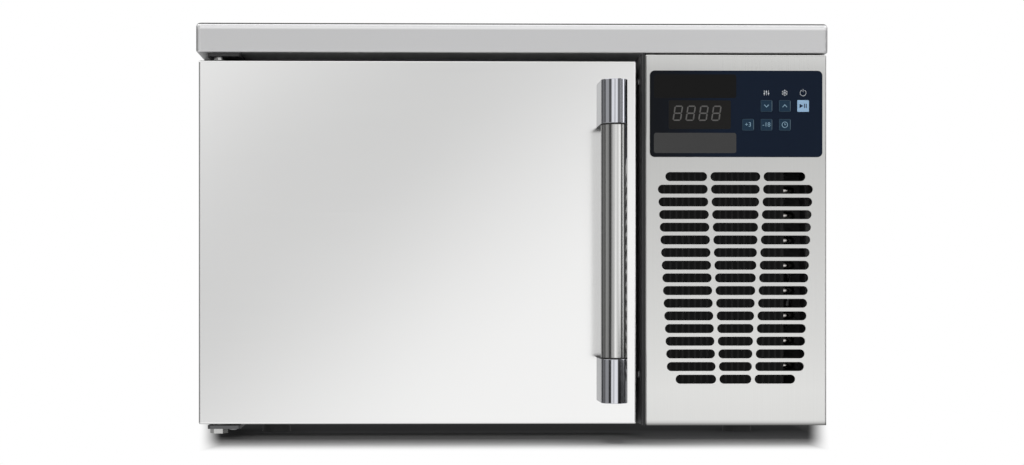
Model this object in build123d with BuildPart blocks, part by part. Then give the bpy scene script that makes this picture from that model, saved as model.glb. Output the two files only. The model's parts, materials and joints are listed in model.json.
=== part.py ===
from build123d import *
import os

# Countertop blast freezer: a pan chamber behind a hinged door, and a machine bay on its right.
# Millimetres, +X to the right of the front, +Y to the back, +Z up.
# The origin is on the surface under the feet, in the middle of the whole outline.

# Whole appliance
WIDTH = 659.0
DEPTH = 672.0  # from the front of the handle to the back of the casing
HEIGHT = 433.0  # with the feet
SHEET = 1.0  # stainless casing sheet
FOLD_RADIUS = 2.0  # outside of a folded edge
FOOT_HEIGHT = 14.0
FOOT_DIAMETER = 32.0
FOOT_INSET = 74.0  # from the casing's sides
FOOT_SETBACK = 30.0  # from the opening frame, and from the rear panel
FOOT_TAPER = 2.0
FOOT_RECESS = 5.0

# Worktop
LIP_HEIGHT = 31.0
LIP_RETURN = 12.0
WORKTOP_OVERHANG = 2.0  # beyond the casing, each side
WORKTOP_CORNER = 5.0
WORKTOP_EDGE = 4.0
LIP_EDGE = 2.5

# Casing
PAN_FLANGE = 15.0
CASING_FLANGE = 14.0
REAR_INSET = 20.0  # keeps the gland and the screws behind the casing's back edges
PANEL_SEAM = 1.3
VENT_LENGTH = 62.0
VENT_HEIGHT = 6.0
VENT_PITCH = 14.0
VENT_ROWS = 8
VENT_BRIDGE = 14.0
VENT_RISE = 150.0  # lowest vent above the base
SCREW_HEAD = 8.0
SCREW_HEAD_HEIGHT = 2.2
SCREW_SHANK = 4.0
SCREW_CLEARANCE = 0.1
REAR_SCREW_INSET = 8.0

# Front panel of the machine bay
PANEL_WIDTH = 189.5
PANEL_RETURN = 18.0
PANEL_CORNER = 1.5
TRIM = 3.0  # black trim on the bay's side wall
TRIM_SETBACK = 1.0
TRIM_GROOVE = 1.0
TRIM_GROOVE_WIDTH = 8.0
TRIM_SCREW_TOP = 27.0
TRIM_SCREW_BOTTOM = 52.5
TRIM_SCREW_DEPTH = 25.0

# Grille: three columns of obround slots that draw in towards the bottom
GRILLE_ROWS = 17
GRILLE_PITCH = 13.2
GRILLE_DROP = 20.4  # from the overlay's lower edge to the first row
GRILLE_SHIFT = -0.7  # grille's middle from the panel's middle
SLOT_HEIGHT = 9.4
WEB_WIDTH = 3.5
WEB_SPREAD_TOP = 27.8
WEB_SPREAD_BOTTOM = 18.4
GRILLE_MARGIN_TOP = 13.1
GRILLE_MARGIN_BOTTOM = 23.8
END_ROW_CUT = 8.5

# Controls
OVERLAY = 1.2
OVERLAY_HEIGHT = 90.0
OVERLAY_MARGIN = 4.7
OVERLAY_DROP = 17.0
OVERLAY_CORNER = 5.0
DISPLAY_WIDTH = 65.0
DISPLAY_HEIGHT = 30.0
DISPLAY_INSET = 51.9  # display's middle from the overlay's left edge
DISPLAY_DROP = 46.0
DISPLAY_CORNER = 2.0
KEY_SIZE = 12.2
KEY_CORNER = 1.0
KEY_PITCH = 19.2
KEY_INSET = 20.2  # right column's middle from the overlay's right edge
KEY_DROP = 36.8
KEY_ROW_PITCH = 19.6
KEY_PROUD = 0.5
KEY_CLEARANCE = 0.15
KEY_FLANGE = 1.2
KEY_STEM = 4.0
KEY_TRAVEL = 0.4
SEAT_CLEARANCE = 0.05
WINDOW_MARGIN = 2.5
BOARD_SETBACK = 10.0
BOARD = 1.6
BOARD_INSET = 3.0
SWITCH_SIZE = 6.0
SWITCH_HEIGHT = 5.0
RELAY_SIZE = (19.0, 15.0, 15.0)
RELAY_SPACING = 34.0
RELAYS = 3
MODULE_SIZE = (52.0, 20.0)
BOX_MARGIN = 7.0
BOX_DEPTH = 38.0
BOX_WALL = 2.0
BOX_CORNER = 4.0
BOSS = 7.0

# Door
DOOR_INSET = 1.0
DOOR_THICKNESS = 46.0
DOOR_TOP_GAP = 8.5
DOOR_SIDE_GAP = 9.5
DOOR_BOTTOM_GAP = 1.8
DOOR_CORNER = 1.5
DOOR_LINER = 6.0
DOOR_PLUG = 6.0
PLUG_INSET = 8.0
PLUG_CORNER = 14.0
PLUG_DRAFT = 30.0
SEAL = 12.0
SEAL_WIDTH = 18.0
SEAL_NECK = 9.0
SEAL_CORNER = 6.0
SEAL_PIN_GAP = 0.5  # seal's outer edge beyond the hinge pin's axis
SEAL_HEAD_CUT = 1.0
SEAL_CLEARANCE = 0.3

# Hinge
PIN_INSET = 19.5
PIN_DEPTH = 16.0
PIN_DIAMETER = 10.0
PIN_REACH = 15.0  # into the door
PIN_HEAD = 16.0
PIN_HEAD_HEIGHT = 5.0
PIN_CLEARANCE = 0.05
BUSH_DIAMETER = 13.0
BUSH_LENGTH = 20.0
BUSH_FLANGE = 1.5
BUSH_FLANGE_DIAMETER = 16.0
HINGE_PLATE = 3.5
HINGE_WIDTH = 34.0
HINGE_NOSE = 11.0  # plate in front of the pin
HINGE_LEG = 22.0
HINGE_TAIL = 46.0  # lower plate under the base pan
HINGE_BOLT_INSET = 9.0
HINGE_FRONT_BOLT = (14.0, 6.0)  # lower plate's third bolt, from the pin

# Handle
HANDLE_REACH = 52.0
HANDLE_DIAMETER = 27.0
HANDLE_WALL = 1.5
HANDLE_LENGTH = 329.0
HANDLE_INSET = 28.0
HANDLE_MOUNT = 45.0
HANDLE_SEAL = 1.6
HANDLE_SPIGOT = 12.0
SPIGOT_CLEARANCE = 0.2
HANDLE_SCREW = 5.0
HANDLE_SCREW_HEAD = 10.0
HANDLE_SCREW_GRIP = 14.0
MOUNT_EDGE = 0.6

# Chamber
SIDE_WALL = 43.5
INNER_WALL = 52.0
FLOOR_WALL = 48.0
CEILING_WALL = 50.0
REAR_WALL = 42.0
LINER = 1.0
LINER_CORNER = 12.0
LINER_FLANGE = 14.0
FRAME_DEPTH = 12.0
FRAME_EDGE = 2.0

# Pan racks
RACK_STANDOFF = 8.0
STUD_DIAMETER = 10.0
UPRIGHT = 3.0
UPRIGHT_WIDTH = 20.0
UPRIGHT_SETBACK = 50.0
UPRIGHT_FOOT = 40.0
UPRIGHT_HEAD = 22.0
STUD_INSET = 16.0
RUNNERS = 3
RUNNER_FIRST = 76.0
RUNNER_PITCH = 74.0
RUNNER_LEDGE = 16.0
RUNNER_LEG = 18.0
RUNNER_SHEET = 1.5
RUNNER_FOLD = 3.0
RUNNER_FRONT = 14.0
RUNNER_BACK = 10.0

# Air side of the chamber
EVAPORATOR_SPACE = 124.0
BAFFLE_SIDE_GAP = 30.0
BAFFLE_FLANGE = 16.0
FAN_OPENING = 208.0
GUARD = 2.0
GUARD_OVERLAP = 9.0
GUARD_WIRE = 3.0
GUARD_PITCH = 17.0
GUARD_RINGS = 4
GUARD_CAP = 20.0
GUARD_SPOKES = 4
EVAPORATOR_DEPTH = 48.0
EVAPORATOR_BACK_GAP = 2.0  # behind the coil, in front of the liner's cove
EVAPORATOR_INSET = 62.0
EVAPORATOR_RISE = 8.0
EVAPORATOR_HEAD = 24.0
SUCTION_DROP = 20.0  # suction line below the top of the evaporator
LIQUID_DROP = 60.0
END_PLATE = 2.0
FIN = 2.0
FIN_PITCH = 6.5
FIN_CORE = 12.0

# Axial fans with the motor inside the hub
FAN_TIP_GAP = 4.0
FAN_SETBACK = 5.0
HUB_DIAMETER = 84.0
HUB_DEPTH = 34.0
HUB_WALL = 9.0
HUB_FACE = 3.0
HUB_EDGE = 4.0
BEARING_WALL = 4.0
BEARING_CLEARANCE = 0.05
SPINDLE = 8.0
STATOR_GAP = 2.0
STATOR_PLATE = 5.0
STATOR_DEPTH = 20.0
BLADES = 5
BLADE_SHEET = 1.8
BLADE_CAMBER = 4.0
BLADE_ROOT_CHORD = 40.0
BLADE_TIP_CHORD = 52.0
BLADE_ROOT_PITCH = 32.0
BLADE_TIP_PITCH = 22.0
BRACKET = 2.0
BRACKET_WIDTH = 24.0
BRACKET_FOOT = 8.0
BRACKET_OFFSET = 5.0
BRACKET_FOLD = 4.0

# Machine bay
COIL_SETBACK = 14.0
COIL_DEPTH = 44.0
COIL_LEFT_MARGIN = 12.0
COIL_RIGHT_MARGIN = 41.0
COIL_RISE = 8.0
COIL_HEAD = 10.0
TUBE_DIAMETER = 8.0
TUBE_ROW_PITCH = 22.0
TUBE_STUB = 1.5
SHROUD_DEPTH = 26.0
SHROUD_SHEET = 1.5
SHROUD_RIGHT_MARGIN = 6.0
CONDENSER_OPENING = 150.0
CONDENSER_HUB = 62.0
COMPRESSOR_DIAMETER = 132.0
COMPRESSOR_HEIGHT = 158.0
COMPRESSOR_SETBACK = 100.0  # back of the pot from the rear panel
COMPRESSOR_SEAM = 4.0
COMPRESSOR_SHOULDER = 26.0
COMPRESSOR_PLATE = (156.0, 116.0)
COMPRESSOR_PLATE_SHEET = 3.0
MOUNT_SPACING = (126.0, 86.0)
GROMMET_DIAMETER = 24.0
GROMMET_HEIGHT = 14.0
GROMMET_NECK = 13.0
GROMMET_CAP = 5.0
GROMMET_CLEARANCE = 0.3
TERMINAL_BOX = (48.0, 30.0, 52.0)
STUB_LENGTH = 12.0
STUB_SPREAD = 34.0  # pipe stubs from the pot's middle
DRIER_DIAMETER = 20.0
DRIER_LENGTH = 84.0
DRIER_CONE = 14.0
DISCHARGE_PIPE = 8.0
SUCTION_PIPE = 10.0
LIQUID_PIPE = 6.0
PIPE_BEND = 12.0
LIQUID_BEND = 4.0
PIPE_CLEARANCE = 1.0
LANE = 14.0  # pipe lanes from the bay's walls and over the coil
GLAND_BORE = 10.0
GLAND_THREAD = 16.0
GLAND_NUT = 24.0  # across flats
GLAND_NUT_HEIGHT = 6.0
GLAND_DOME = 8.0
GLAND_RISE = 46.0
GLAND_INSET = 39.0

# Planes and levels that the pieces share
left = -WIDTH / 2 + WORKTOP_OVERHANG
right = WIDTH / 2 - WORKTOP_OVERHANG
front = -DEPTH / 2 + HANDLE_REACH
back = DEPTH / 2
base = FOOT_HEIGHT
lip = HEIGHT - LIP_HEIGHT
bay_x = right - PANEL_WIDTH
bay_left = bay_x + SHEET
bay_right = right - SHEET
bay_middle = (bay_left + bay_right) / 2
trim_face = bay_x - TRIM
panel_inner = front + SHEET
panel_top = lip - PANEL_SEAM
panel_back = front + PANEL_RETURN
floor = base + SHEET
rear_outer = back - REAR_INSET
rear_inner = rear_outer - SHEET
frame_y = front + DOOR_THICKNESS + SEAL
frame_back = frame_y + FRAME_DEPTH
pan_x = (left + SHEET, bay_right)
casing_z = (floor, lip - SHEET)
chamber_x = (left + SIDE_WALL, bay_x - INNER_WALL)
chamber_z = (base + FLOOR_WALL, lip - CEILING_WALL)
chamber_back = rear_inner - REAR_WALL


def middle(span):
    """Halfway between two values."""
    return (span[0] + span[1]) / 2


def grow(span, amount):
    """A span made longer by the same amount at both ends."""
    return (span[0] - amount, span[1] + amount)


def front_plane(y):
    """X across and Z up, seen from the front at depth y; extruding by -d goes d to the back."""
    return Plane.XZ.offset(-y)


def side_plane(x):
    """Y across and Z up at x; extruding by d goes d to the right."""
    return Plane.YZ.offset(x)


def rectangle_between(across, up, radius=0, mode=Mode.ADD):
    """A rectangle from span to span in the sketch being drawn."""
    with Locations((middle(across), middle(up))):
        if radius:
            RectangleRounded(across[1] - across[0], up[1] - up[0], radius, mode=mode)
        else:
            Rectangle(across[1] - across[0], up[1] - up[0], mode=mode)


def save(piece, name):
    """Label a finished piece and write it."""
    piece.part.label = name
    export_step(piece.part, f"parts/{name}.step")


os.makedirs("parts", exist_ok=True)

# Base pan: an L in plan, because the bay reaches further forward than the chamber
with BuildPart() as base_pan:
    with BuildSketch(Plane.XY.offset(base)):
        rectangle_between(pan_x, (frame_back, rear_inner))
        rectangle_between((bay_left, bay_right), (panel_inner, rear_inner))
    extrude(amount=PAN_FLANGE)
    fillet(base_pan.edges().filter_by(Axis.Z).group_by(Axis.Y)[0], FOLD_RADIUS)
    offset(amount=-SHEET, openings=base_pan.faces().sort_by(Axis.Z)[-1])
save(base_pan, "base_pan")

# Feet: rubber, hollow underneath
foot_places = [
    (x, y)
    for x in (left + FOOT_INSET, right - FOOT_INSET)
    for y in (frame_back + FOOT_SETBACK, rear_inner - FOOT_SETBACK)
]
with BuildPart() as feet:
    with Locations(*[(x, y, 0) for x, y in foot_places]):
        Cone(
            FOOT_DIAMETER / 2,
            FOOT_DIAMETER / 2 - FOOT_TAPER,
            FOOT_HEIGHT,
            align=(Align.CENTER, Align.CENTER, Align.MIN),
        )
        Cylinder(
            FOOT_DIAMETER / 4,
            FOOT_RECESS,
            align=(Align.CENTER, Align.CENTER, Align.MIN),
            mode=Mode.SUBTRACT,
        )
save(feet, "feet")


def side_panel(edge, inward, start):
    """A casing side with a folded flange along its top, from start to the back of the casing."""
    wall = edge + inward * SHEET / 2
    with BuildPart() as panel:
        with BuildSketch(front_plane(start)):
            with BuildLine():
                FilletPolyline(
                    (wall, base),
                    (wall, lip - SHEET / 2),
                    (edge + inward * CASING_FLANGE, lip - SHEET / 2),
                    radius=FOLD_RADIUS - SHEET / 2,
                )
            trace(line_width=SHEET)
        extrude(amount=-(back - start))
    return panel


left_side_panel = side_panel(left, 1, frame_back)
save(left_side_panel, "left_side_panel")
right_side_panel = side_panel(right, -1, panel_back)
save(right_side_panel, "right_side_panel")

# Rear panel: vents behind the bay, holes for the cable gland and the screws
rear_top = lip - FOLD_RADIUS
gland_place = (bay_right - GLAND_INSET, base + GLAND_RISE)
rear_screw_places = [
    (x, z)
    for x in (pan_x[0] + REAR_SCREW_INSET, bay_x, pan_x[1] - REAR_SCREW_INSET)
    for z in (base + REAR_SCREW_INSET, rear_top - REAR_SCREW_INSET)
]
with BuildPart() as rear_panel:
    with BuildSketch(front_plane(rear_inner)):
        rectangle_between(pan_x, (base, rear_top))
        vent_middle = base + VENT_RISE + VENT_PITCH * (VENT_ROWS - 1) / 2
        with Locations((bay_middle, vent_middle)):
            with GridLocations(VENT_LENGTH + VENT_BRIDGE, VENT_PITCH, 2, VENT_ROWS):
                SlotOverall(VENT_LENGTH, VENT_HEIGHT, mode=Mode.SUBTRACT)
        with Locations(gland_place):
            Circle(GLAND_THREAD / 2 + SCREW_CLEARANCE, mode=Mode.SUBTRACT)
        with Locations(*rear_screw_places):
            Circle(SCREW_SHANK / 2 + SCREW_CLEARANCE, mode=Mode.SUBTRACT)
    extrude(amount=-SHEET)
save(rear_panel, "rear_panel")


def worktop_form(inset):
    """The worktop's rounded block, drawn in all round by inset."""
    with BuildPart() as form:
        with BuildSketch(Plane.XY.offset(lip + inset)):
            rectangle_between(
                grow((left, right), WORKTOP_OVERHANG - inset),
                grow((front, back), -inset),
                WORKTOP_CORNER - inset,
            )
        extrude(amount=LIP_HEIGHT - 2 * inset)
        fillet(form.edges().group_by(Axis.Z)[-1], WORKTOP_EDGE - inset)
        fillet(form.edges().group_by(Axis.Z)[0], LIP_EDGE - inset)
    return form


# Worktop: a folded cover whose front soffit closes the space over the door
worktop_outside = worktop_form(0)
worktop_inside = worktop_form(SHEET)
with BuildPart() as top_cover:
    add(worktop_outside.part)
    add(worktop_inside.part, mode=Mode.SUBTRACT)
    with BuildSketch(Plane.XY.offset(lip)):
        rectangle_between(grow((left, right), -LIP_RETURN), (frame_back, rear_inner))
    extrude(amount=LIP_HEIGHT / 2, mode=Mode.SUBTRACT)
save(top_cover, "top_cover")

# Controls: places taken from the overlay's edges
overlay_x = (bay_x + OVERLAY_MARGIN, right - OVERLAY_MARGIN)
overlay_z = (panel_top - OVERLAY_DROP - OVERLAY_HEIGHT, panel_top - OVERLAY_DROP)
overlay_face = front - OVERLAY
display_place = (overlay_x[0] + DISPLAY_INSET, overlay_z[1] - DISPLAY_DROP)
key_columns = [overlay_x[1] - KEY_INSET - KEY_PITCH * column for column in range(4)]
key_rows = [overlay_z[1] - KEY_DROP - KEY_ROW_PITCH * row for row in range(2)]
key_places = {
    "key_start": (key_columns[0], key_rows[0]),
    "key_up": (key_columns[1], key_rows[0]),
    "key_down": (key_columns[2], key_rows[0]),
    "key_mode": (key_columns[1], key_rows[1]),
    "key_freeze": (key_columns[2], key_rows[1]),
    "key_chill": (key_columns[3], key_rows[1]),
}
key_half = KEY_SIZE / 2 + KEY_FLANGE
display_z = grow((display_place[1], display_place[1]), DISPLAY_HEIGHT / 2 + KEY_FLANGE)
window_x = grow(
    (display_place[0] - DISPLAY_WIDTH / 2 - KEY_FLANGE, key_columns[0] + key_half), WINDOW_MARGIN
)
window_z = grow(
    (min(display_z[0], key_rows[1] - key_half), max(display_z[1], key_rows[0] + key_half)),
    WINDOW_MARGIN,
)


grille_middle = middle((bay_x, right)) + GRILLE_SHIFT


def grille_level(row):
    """Height of a slot row, counted from the top."""
    return overlay_z[0] - GRILLE_DROP - GRILLE_PITCH * row


def grille_slots(row):
    """The three slots of a row, as spans from the grille's middle."""
    share = row / (GRILLE_ROWS - 1)
    web = WEB_SPREAD_TOP + (WEB_SPREAD_BOTTOM - WEB_SPREAD_TOP) * share
    edge = PANEL_WIDTH / 2 - GRILLE_MARGIN_TOP - (GRILLE_MARGIN_BOTTOM - GRILLE_MARGIN_TOP) * share
    if row in (0, GRILLE_ROWS - 1):
        edge -= END_ROW_CUT
    inner = web - WEB_WIDTH / 2
    outer = web + WEB_WIDTH / 2
    return ((-edge, -outer), (-inner, inner), (outer, edge))


# Front panel of the bay, with the grille and the window behind the controls
with BuildPart() as front_panel:
    with BuildSketch(front_plane(front)):
        rectangle_between((bay_x, right), (base, panel_top))
    extrude(amount=-PANEL_RETURN)
    fillet(front_panel.edges().filter_by(Axis.Y).group_by(Axis.Z)[-1], PANEL_CORNER)
    fillet(front_panel.faces().sort_by(Axis.Y)[0].edges().sort_by(Axis.Z)[1:], FOLD_RADIUS)
    offset(
        amount=-SHEET,
        openings=[front_panel.faces().sort_by(Axis.Y)[-1], front_panel.faces().sort_by(Axis.Z)[0]],
    )
    with BuildSketch(front_plane(front)):
        for row in range(GRILLE_ROWS):
            for slot in grille_slots(row):
                with Locations((grille_middle + middle(slot), grille_level(row))):
                    SlotOverall(slot[1] - slot[0], SLOT_HEIGHT)
        rectangle_between(window_x, window_z, DISPLAY_CORNER)
    extrude(amount=-SHEET, mode=Mode.SUBTRACT)
save(front_panel, "front_panel")

# Black trim on the bay's side wall, ribbed, facing the edge of the door
trim_screw_y = front + TRIM_SCREW_DEPTH
trim_screw_levels = (base + TRIM_SCREW_BOTTOM, lip - TRIM_SCREW_TOP)
with BuildPart() as bay_side_trim:
    with BuildSketch(Plane.XY.offset(base)):
        rectangle_between((trim_face, bay_x), (front + TRIM_SETBACK, frame_back))
        for groove_y in (trim_screw_y - 2 * TRIM_GROOVE_WIDTH, trim_screw_y + 2 * TRIM_GROOVE_WIDTH):
            rectangle_between(
                (trim_face, trim_face + TRIM_GROOVE),
                grow((groove_y, groove_y), TRIM_GROOVE_WIDTH / 2),
                mode=Mode.SUBTRACT,
            )
    extrude(amount=lip - base)
    with BuildSketch(side_plane(trim_face)):
        with Locations(*[(trim_screw_y, z) for z in trim_screw_levels]):
            Circle(SCREW_SHANK / 2 + SCREW_CLEARANCE)
    extrude(amount=TRIM, mode=Mode.SUBTRACT)
save(bay_side_trim, "bay_side_trim")

# Air side of the chamber: the planes that the fan, coil and pipes share
baffle_y = chamber_back - EVAPORATOR_SPACE
evaporator_x = grow(chamber_x, -EVAPORATOR_INSET)
evaporator_back = chamber_back - LINER_CORNER - EVAPORATOR_BACK_GAP
evaporator_y = (evaporator_back - EVAPORATOR_DEPTH, evaporator_back)
evaporator_z = (chamber_z[0] + EVAPORATOR_RISE, chamber_z[1] - EVAPORATOR_HEAD)
suction_place = (middle(evaporator_y), evaporator_z[1] - SUCTION_DROP)
liquid_place = (middle(evaporator_y), evaporator_z[1] - LIQUID_DROP)
pipe_holes = (
    (suction_place, SUCTION_PIPE / 2 + PIPE_CLEARANCE),
    (liquid_place, LIQUID_PIPE / 2 + PIPE_CLEARANCE),
)

# Partition between the chamber and the machine bay
with BuildPart() as partition_wall:
    with BuildSketch(side_plane(bay_x)):
        rectangle_between((panel_back, rear_inner), casing_z)
        for place, radius in pipe_holes:
            with Locations(place):
                Circle(radius, mode=Mode.SUBTRACT)
    extrude(amount=SHEET)
    add(base_pan.part, mode=Mode.SUBTRACT)
save(partition_wall, "partition_wall")

# Frame around the opening, which the door seals against
with BuildPart() as door_frame:
    with BuildSketch(front_plane(frame_y)):
        rectangle_between((left, trim_face), (base, lip))
        rectangle_between(chamber_x, chamber_z, LINER_CORNER, mode=Mode.SUBTRACT)
    extrude(amount=-FRAME_DEPTH)
    front_edges = door_frame.faces().sort_by(Axis.Y)[0].inner_wires().edges()
    fillet(front_edges, FRAME_EDGE)
save(door_frame, "door_frame")

# Outer form of the chamber liner, shared by the liner and the insulation around it
with BuildPart() as liner_form:
    with BuildSketch(front_plane(frame_back)):
        rectangle_between(grow(chamber_x, LINER), grow(chamber_z, LINER), LINER_CORNER + LINER)
    extrude(amount=-(chamber_back + LINER - frame_back))
    fillet(liner_form.faces().sort_by(Axis.Y)[-1].edges(), LINER_CORNER + LINER)

# Chamber liner: coved corners and a flange behind the opening frame
with BuildPart() as chamber_liner:
    add(liner_form.part)
    offset(amount=-LINER, openings=chamber_liner.faces().sort_by(Axis.Y)[0])
    with BuildSketch(front_plane(frame_back)):
        rectangle_between(grow(chamber_x, LINER_FLANGE), grow(chamber_z, LINER_FLANGE))
        rectangle_between(chamber_x, chamber_z, LINER_CORNER, mode=Mode.SUBTRACT)
    extrude(amount=-LINER)
    with BuildSketch(side_plane(chamber_x[1])):
        for place, radius in pipe_holes:
            with Locations(place):
                Circle(radius)
    extrude(amount=LINER, mode=Mode.SUBTRACT)
save(chamber_liner, "chamber_liner")

# Foamed-in insulation between the casing and the liner
with BuildPart() as cabinet_insulation:
    with BuildSketch(front_plane(frame_back)):
        rectangle_between((pan_x[0], bay_x), casing_z)
    extrude(amount=-(rear_inner - frame_back))
    add(liner_form.part, mode=Mode.SUBTRACT)
    for neighbour in (chamber_liner, base_pan, left_side_panel):
        add(neighbour.part, mode=Mode.SUBTRACT)
    with BuildSketch(side_plane(chamber_x[1])):
        for place, radius in pipe_holes:
            with Locations(place):
                Circle(radius)
    extrude(amount=INNER_WALL, mode=Mode.SUBTRACT)
save(cabinet_insulation, "cabinet_insulation")

# Pan racks: two uprights on studs each side, with three folded runners
upright_places = (frame_back + UPRIGHT_SETBACK, baffle_y - UPRIGHT_SETBACK)
upright_z = (chamber_z[0] + UPRIGHT_FOOT, chamber_z[1] - UPRIGHT_HEAD)
runner_levels = [chamber_z[0] + RUNNER_FIRST + RUNNER_PITCH * level for level in range(RUNNERS)]
runner_y = (frame_back + RUNNER_FRONT, baffle_y - RUNNER_BACK)


def pan_rack(wall, inward):
    """One side's uprights and runners, off the liner wall by the studs' length."""
    upright_x = sorted((wall + inward * RACK_STANDOFF, wall + inward * (RACK_STANDOFF + UPRIGHT)))
    leg_x = wall + inward * (RACK_STANDOFF + UPRIGHT + RUNNER_SHEET / 2)
    with BuildPart() as rack:
        for y in upright_places:
            with BuildSketch(front_plane(y - UPRIGHT_WIDTH / 2)):
                rectangle_between(upright_x, upright_z)
            extrude(amount=-UPRIGHT_WIDTH)
        for z in runner_levels:
            with BuildSketch(front_plane(runner_y[0])):
                with BuildLine():
                    FilletPolyline(
                        (leg_x, z + RUNNER_LEG),
                        (leg_x, z),
                        (leg_x + inward * RUNNER_LEDGE, z),
                        radius=RUNNER_FOLD,
                    )
                trace(line_width=RUNNER_SHEET)
            extrude(amount=-(runner_y[1] - runner_y[0]))
    return rack


pan_rack_left = pan_rack(chamber_x[0], 1)
save(pan_rack_left, "pan_rack_left")
pan_rack_right = pan_rack(chamber_x[1], -1)
save(pan_rack_right, "pan_rack_right")

stud_places = [(y, z) for y in upright_places for z in grow(upright_z, -STUD_INSET)]
with BuildPart() as rack_studs:
    for wall in (chamber_x[0], chamber_x[1] - RACK_STANDOFF):
        with BuildSketch(side_plane(wall)):
            with Locations(*stud_places):
                Circle(STUD_DIAMETER / 2)
        extrude(amount=RACK_STANDOFF)
save(rack_studs, "rack_studs")

# Fan baffle: a plate across the chamber, folded onto its floor and ceiling
baffle_x = grow(chamber_x, -BAFFLE_SIDE_GAP)
baffle_back = baffle_y + SHEET
fan_place = (middle(chamber_x), middle(chamber_z))
with BuildPart() as fan_baffle:
    with BuildSketch(side_plane(baffle_x[0])):
        sheet_z = grow(chamber_z, -SHEET / 2)
        sheet_y = baffle_y + SHEET / 2
        with BuildLine():
            FilletPolyline(
                (baffle_y + BAFFLE_FLANGE, sheet_z[0]),
                (sheet_y, sheet_z[0]),
                (sheet_y, sheet_z[1]),
                (baffle_y + BAFFLE_FLANGE, sheet_z[1]),
                radius=FOLD_RADIUS,
            )
        trace(line_width=SHEET)
    extrude(amount=baffle_x[1] - baffle_x[0])
    with BuildSketch(front_plane(baffle_y)):
        with Locations(fan_place):
            Circle(FAN_OPENING / 2)
    extrude(amount=-SHEET, mode=Mode.SUBTRACT)
save(fan_baffle, "fan_baffle")

# Finger guard: rings on four spokes, with a cap in the middle
with BuildPart() as evaporator_fan_guard:
    with BuildSketch(front_plane(baffle_y)):
        with Locations(fan_place):
            Circle(FAN_OPENING / 2 + GUARD_OVERLAP)
            Circle(FAN_OPENING / 2, mode=Mode.SUBTRACT)
            for ring in range(GUARD_RINGS):
                ring_radius = FAN_OPENING / 2 - GUARD_PITCH * (ring + 1)
                Circle(ring_radius)
                Circle(ring_radius - GUARD_WIRE, mode=Mode.SUBTRACT)
            with PolarLocations(FAN_OPENING / 4, GUARD_SPOKES, 180 / GUARD_SPOKES):
                Rectangle(FAN_OPENING / 2, GUARD_WIRE)
            Circle(GUARD_CAP)
    extrude(amount=GUARD)
save(evaporator_fan_guard, "evaporator_fan_guard")


def finned_coil(across, depth, up, plate_foot):
    """A fin pack between two end plates that stand on plate_foot."""
    fin_gap = FIN_PITCH - FIN
    fins = int((across[1] - across[0] - 2 * END_PLATE) // FIN_PITCH)
    groove_depth = (depth[1] - depth[0] - FIN_CORE) / 2
    with BuildPart() as coil:
        with BuildSketch(Plane.XY.offset(up[0])):
            rectangle_between(across, depth)
            for groove_y in (depth[0] + groove_depth / 2, depth[1] - groove_depth / 2):
                with Locations((middle(across), groove_y)):
                    with GridLocations(FIN_PITCH, groove_depth, fins, 1):
                        Rectangle(fin_gap, groove_depth, mode=Mode.SUBTRACT)
        extrude(amount=up[1] - up[0])
        for plate_x in (across[0], across[1] - END_PLATE):
            with BuildSketch(side_plane(plate_x)):
                rectangle_between(depth, (plate_foot, up[1]))
            extrude(amount=END_PLATE)
    return coil


evaporator_coil = finned_coil(evaporator_x, evaporator_y, evaporator_z, chamber_z[0])
save(evaporator_coil, "evaporator_coil")


def fan_rotor(hub_front, opening, hub_diameter):
    """A hub cup with cambered, twisted blades; hub_front is the hub's front face, its normal to the back."""
    hub_radius = hub_diameter / 2
    tip_radius = opening / 2 - FAN_TIP_GAP
    spin = Axis(hub_front.origin, hub_front.z_dir)
    sweep_levels = (
        (hub_radius - HUB_WALL / 2, BLADE_ROOT_CHORD, BLADE_ROOT_PITCH),
        (tip_radius, BLADE_TIP_CHORD, BLADE_TIP_PITCH),
    )
    with BuildPart() as hub:
        with BuildSketch(hub_front):
            Circle(hub_radius)
        extrude(amount=HUB_DEPTH)
        fillet(hub.edges().sort_by(Axis.Y)[0], HUB_EDGE)
    with BuildPart() as rotor:
        for blade in range(BLADES):
            radial = hub_front.x_dir.rotate(spin, 360 / BLADES * blade)
            tangent = spin.direction.cross(radial)
            for radius, chord, pitch in sweep_levels:
                centre = hub_front.offset(HUB_DEPTH / 2).origin + radial * radius
                chord_line = tangent.rotate(Axis(centre, radial), pitch)
                with BuildSketch(Plane(centre, x_dir=chord_line, z_dir=radial)):
                    with BuildLine():
                        SagittaArc((-chord / 2, 0), (chord / 2, 0), BLADE_CAMBER)
                    trace(line_width=BLADE_SHEET)
            loft(ruled=True)
        with BuildSketch(hub_front):
            Circle(tip_radius)
        extrude(amount=HUB_DEPTH, mode=Mode.INTERSECT)
        add(hub.part)
        with BuildSketch(hub_front.offset(HUB_FACE)):
            Circle(hub_radius - HUB_WALL)
            Circle(SPINDLE / 2 + BEARING_WALL, mode=Mode.SUBTRACT)
        extrude(amount=HUB_DEPTH - HUB_FACE, mode=Mode.SUBTRACT)
        with BuildSketch(hub_front.offset(HUB_FACE)):
            Circle(SPINDLE / 2 + BEARING_CLEARANCE)
        extrude(amount=HUB_DEPTH - HUB_FACE, mode=Mode.SUBTRACT)
    return rotor


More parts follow.
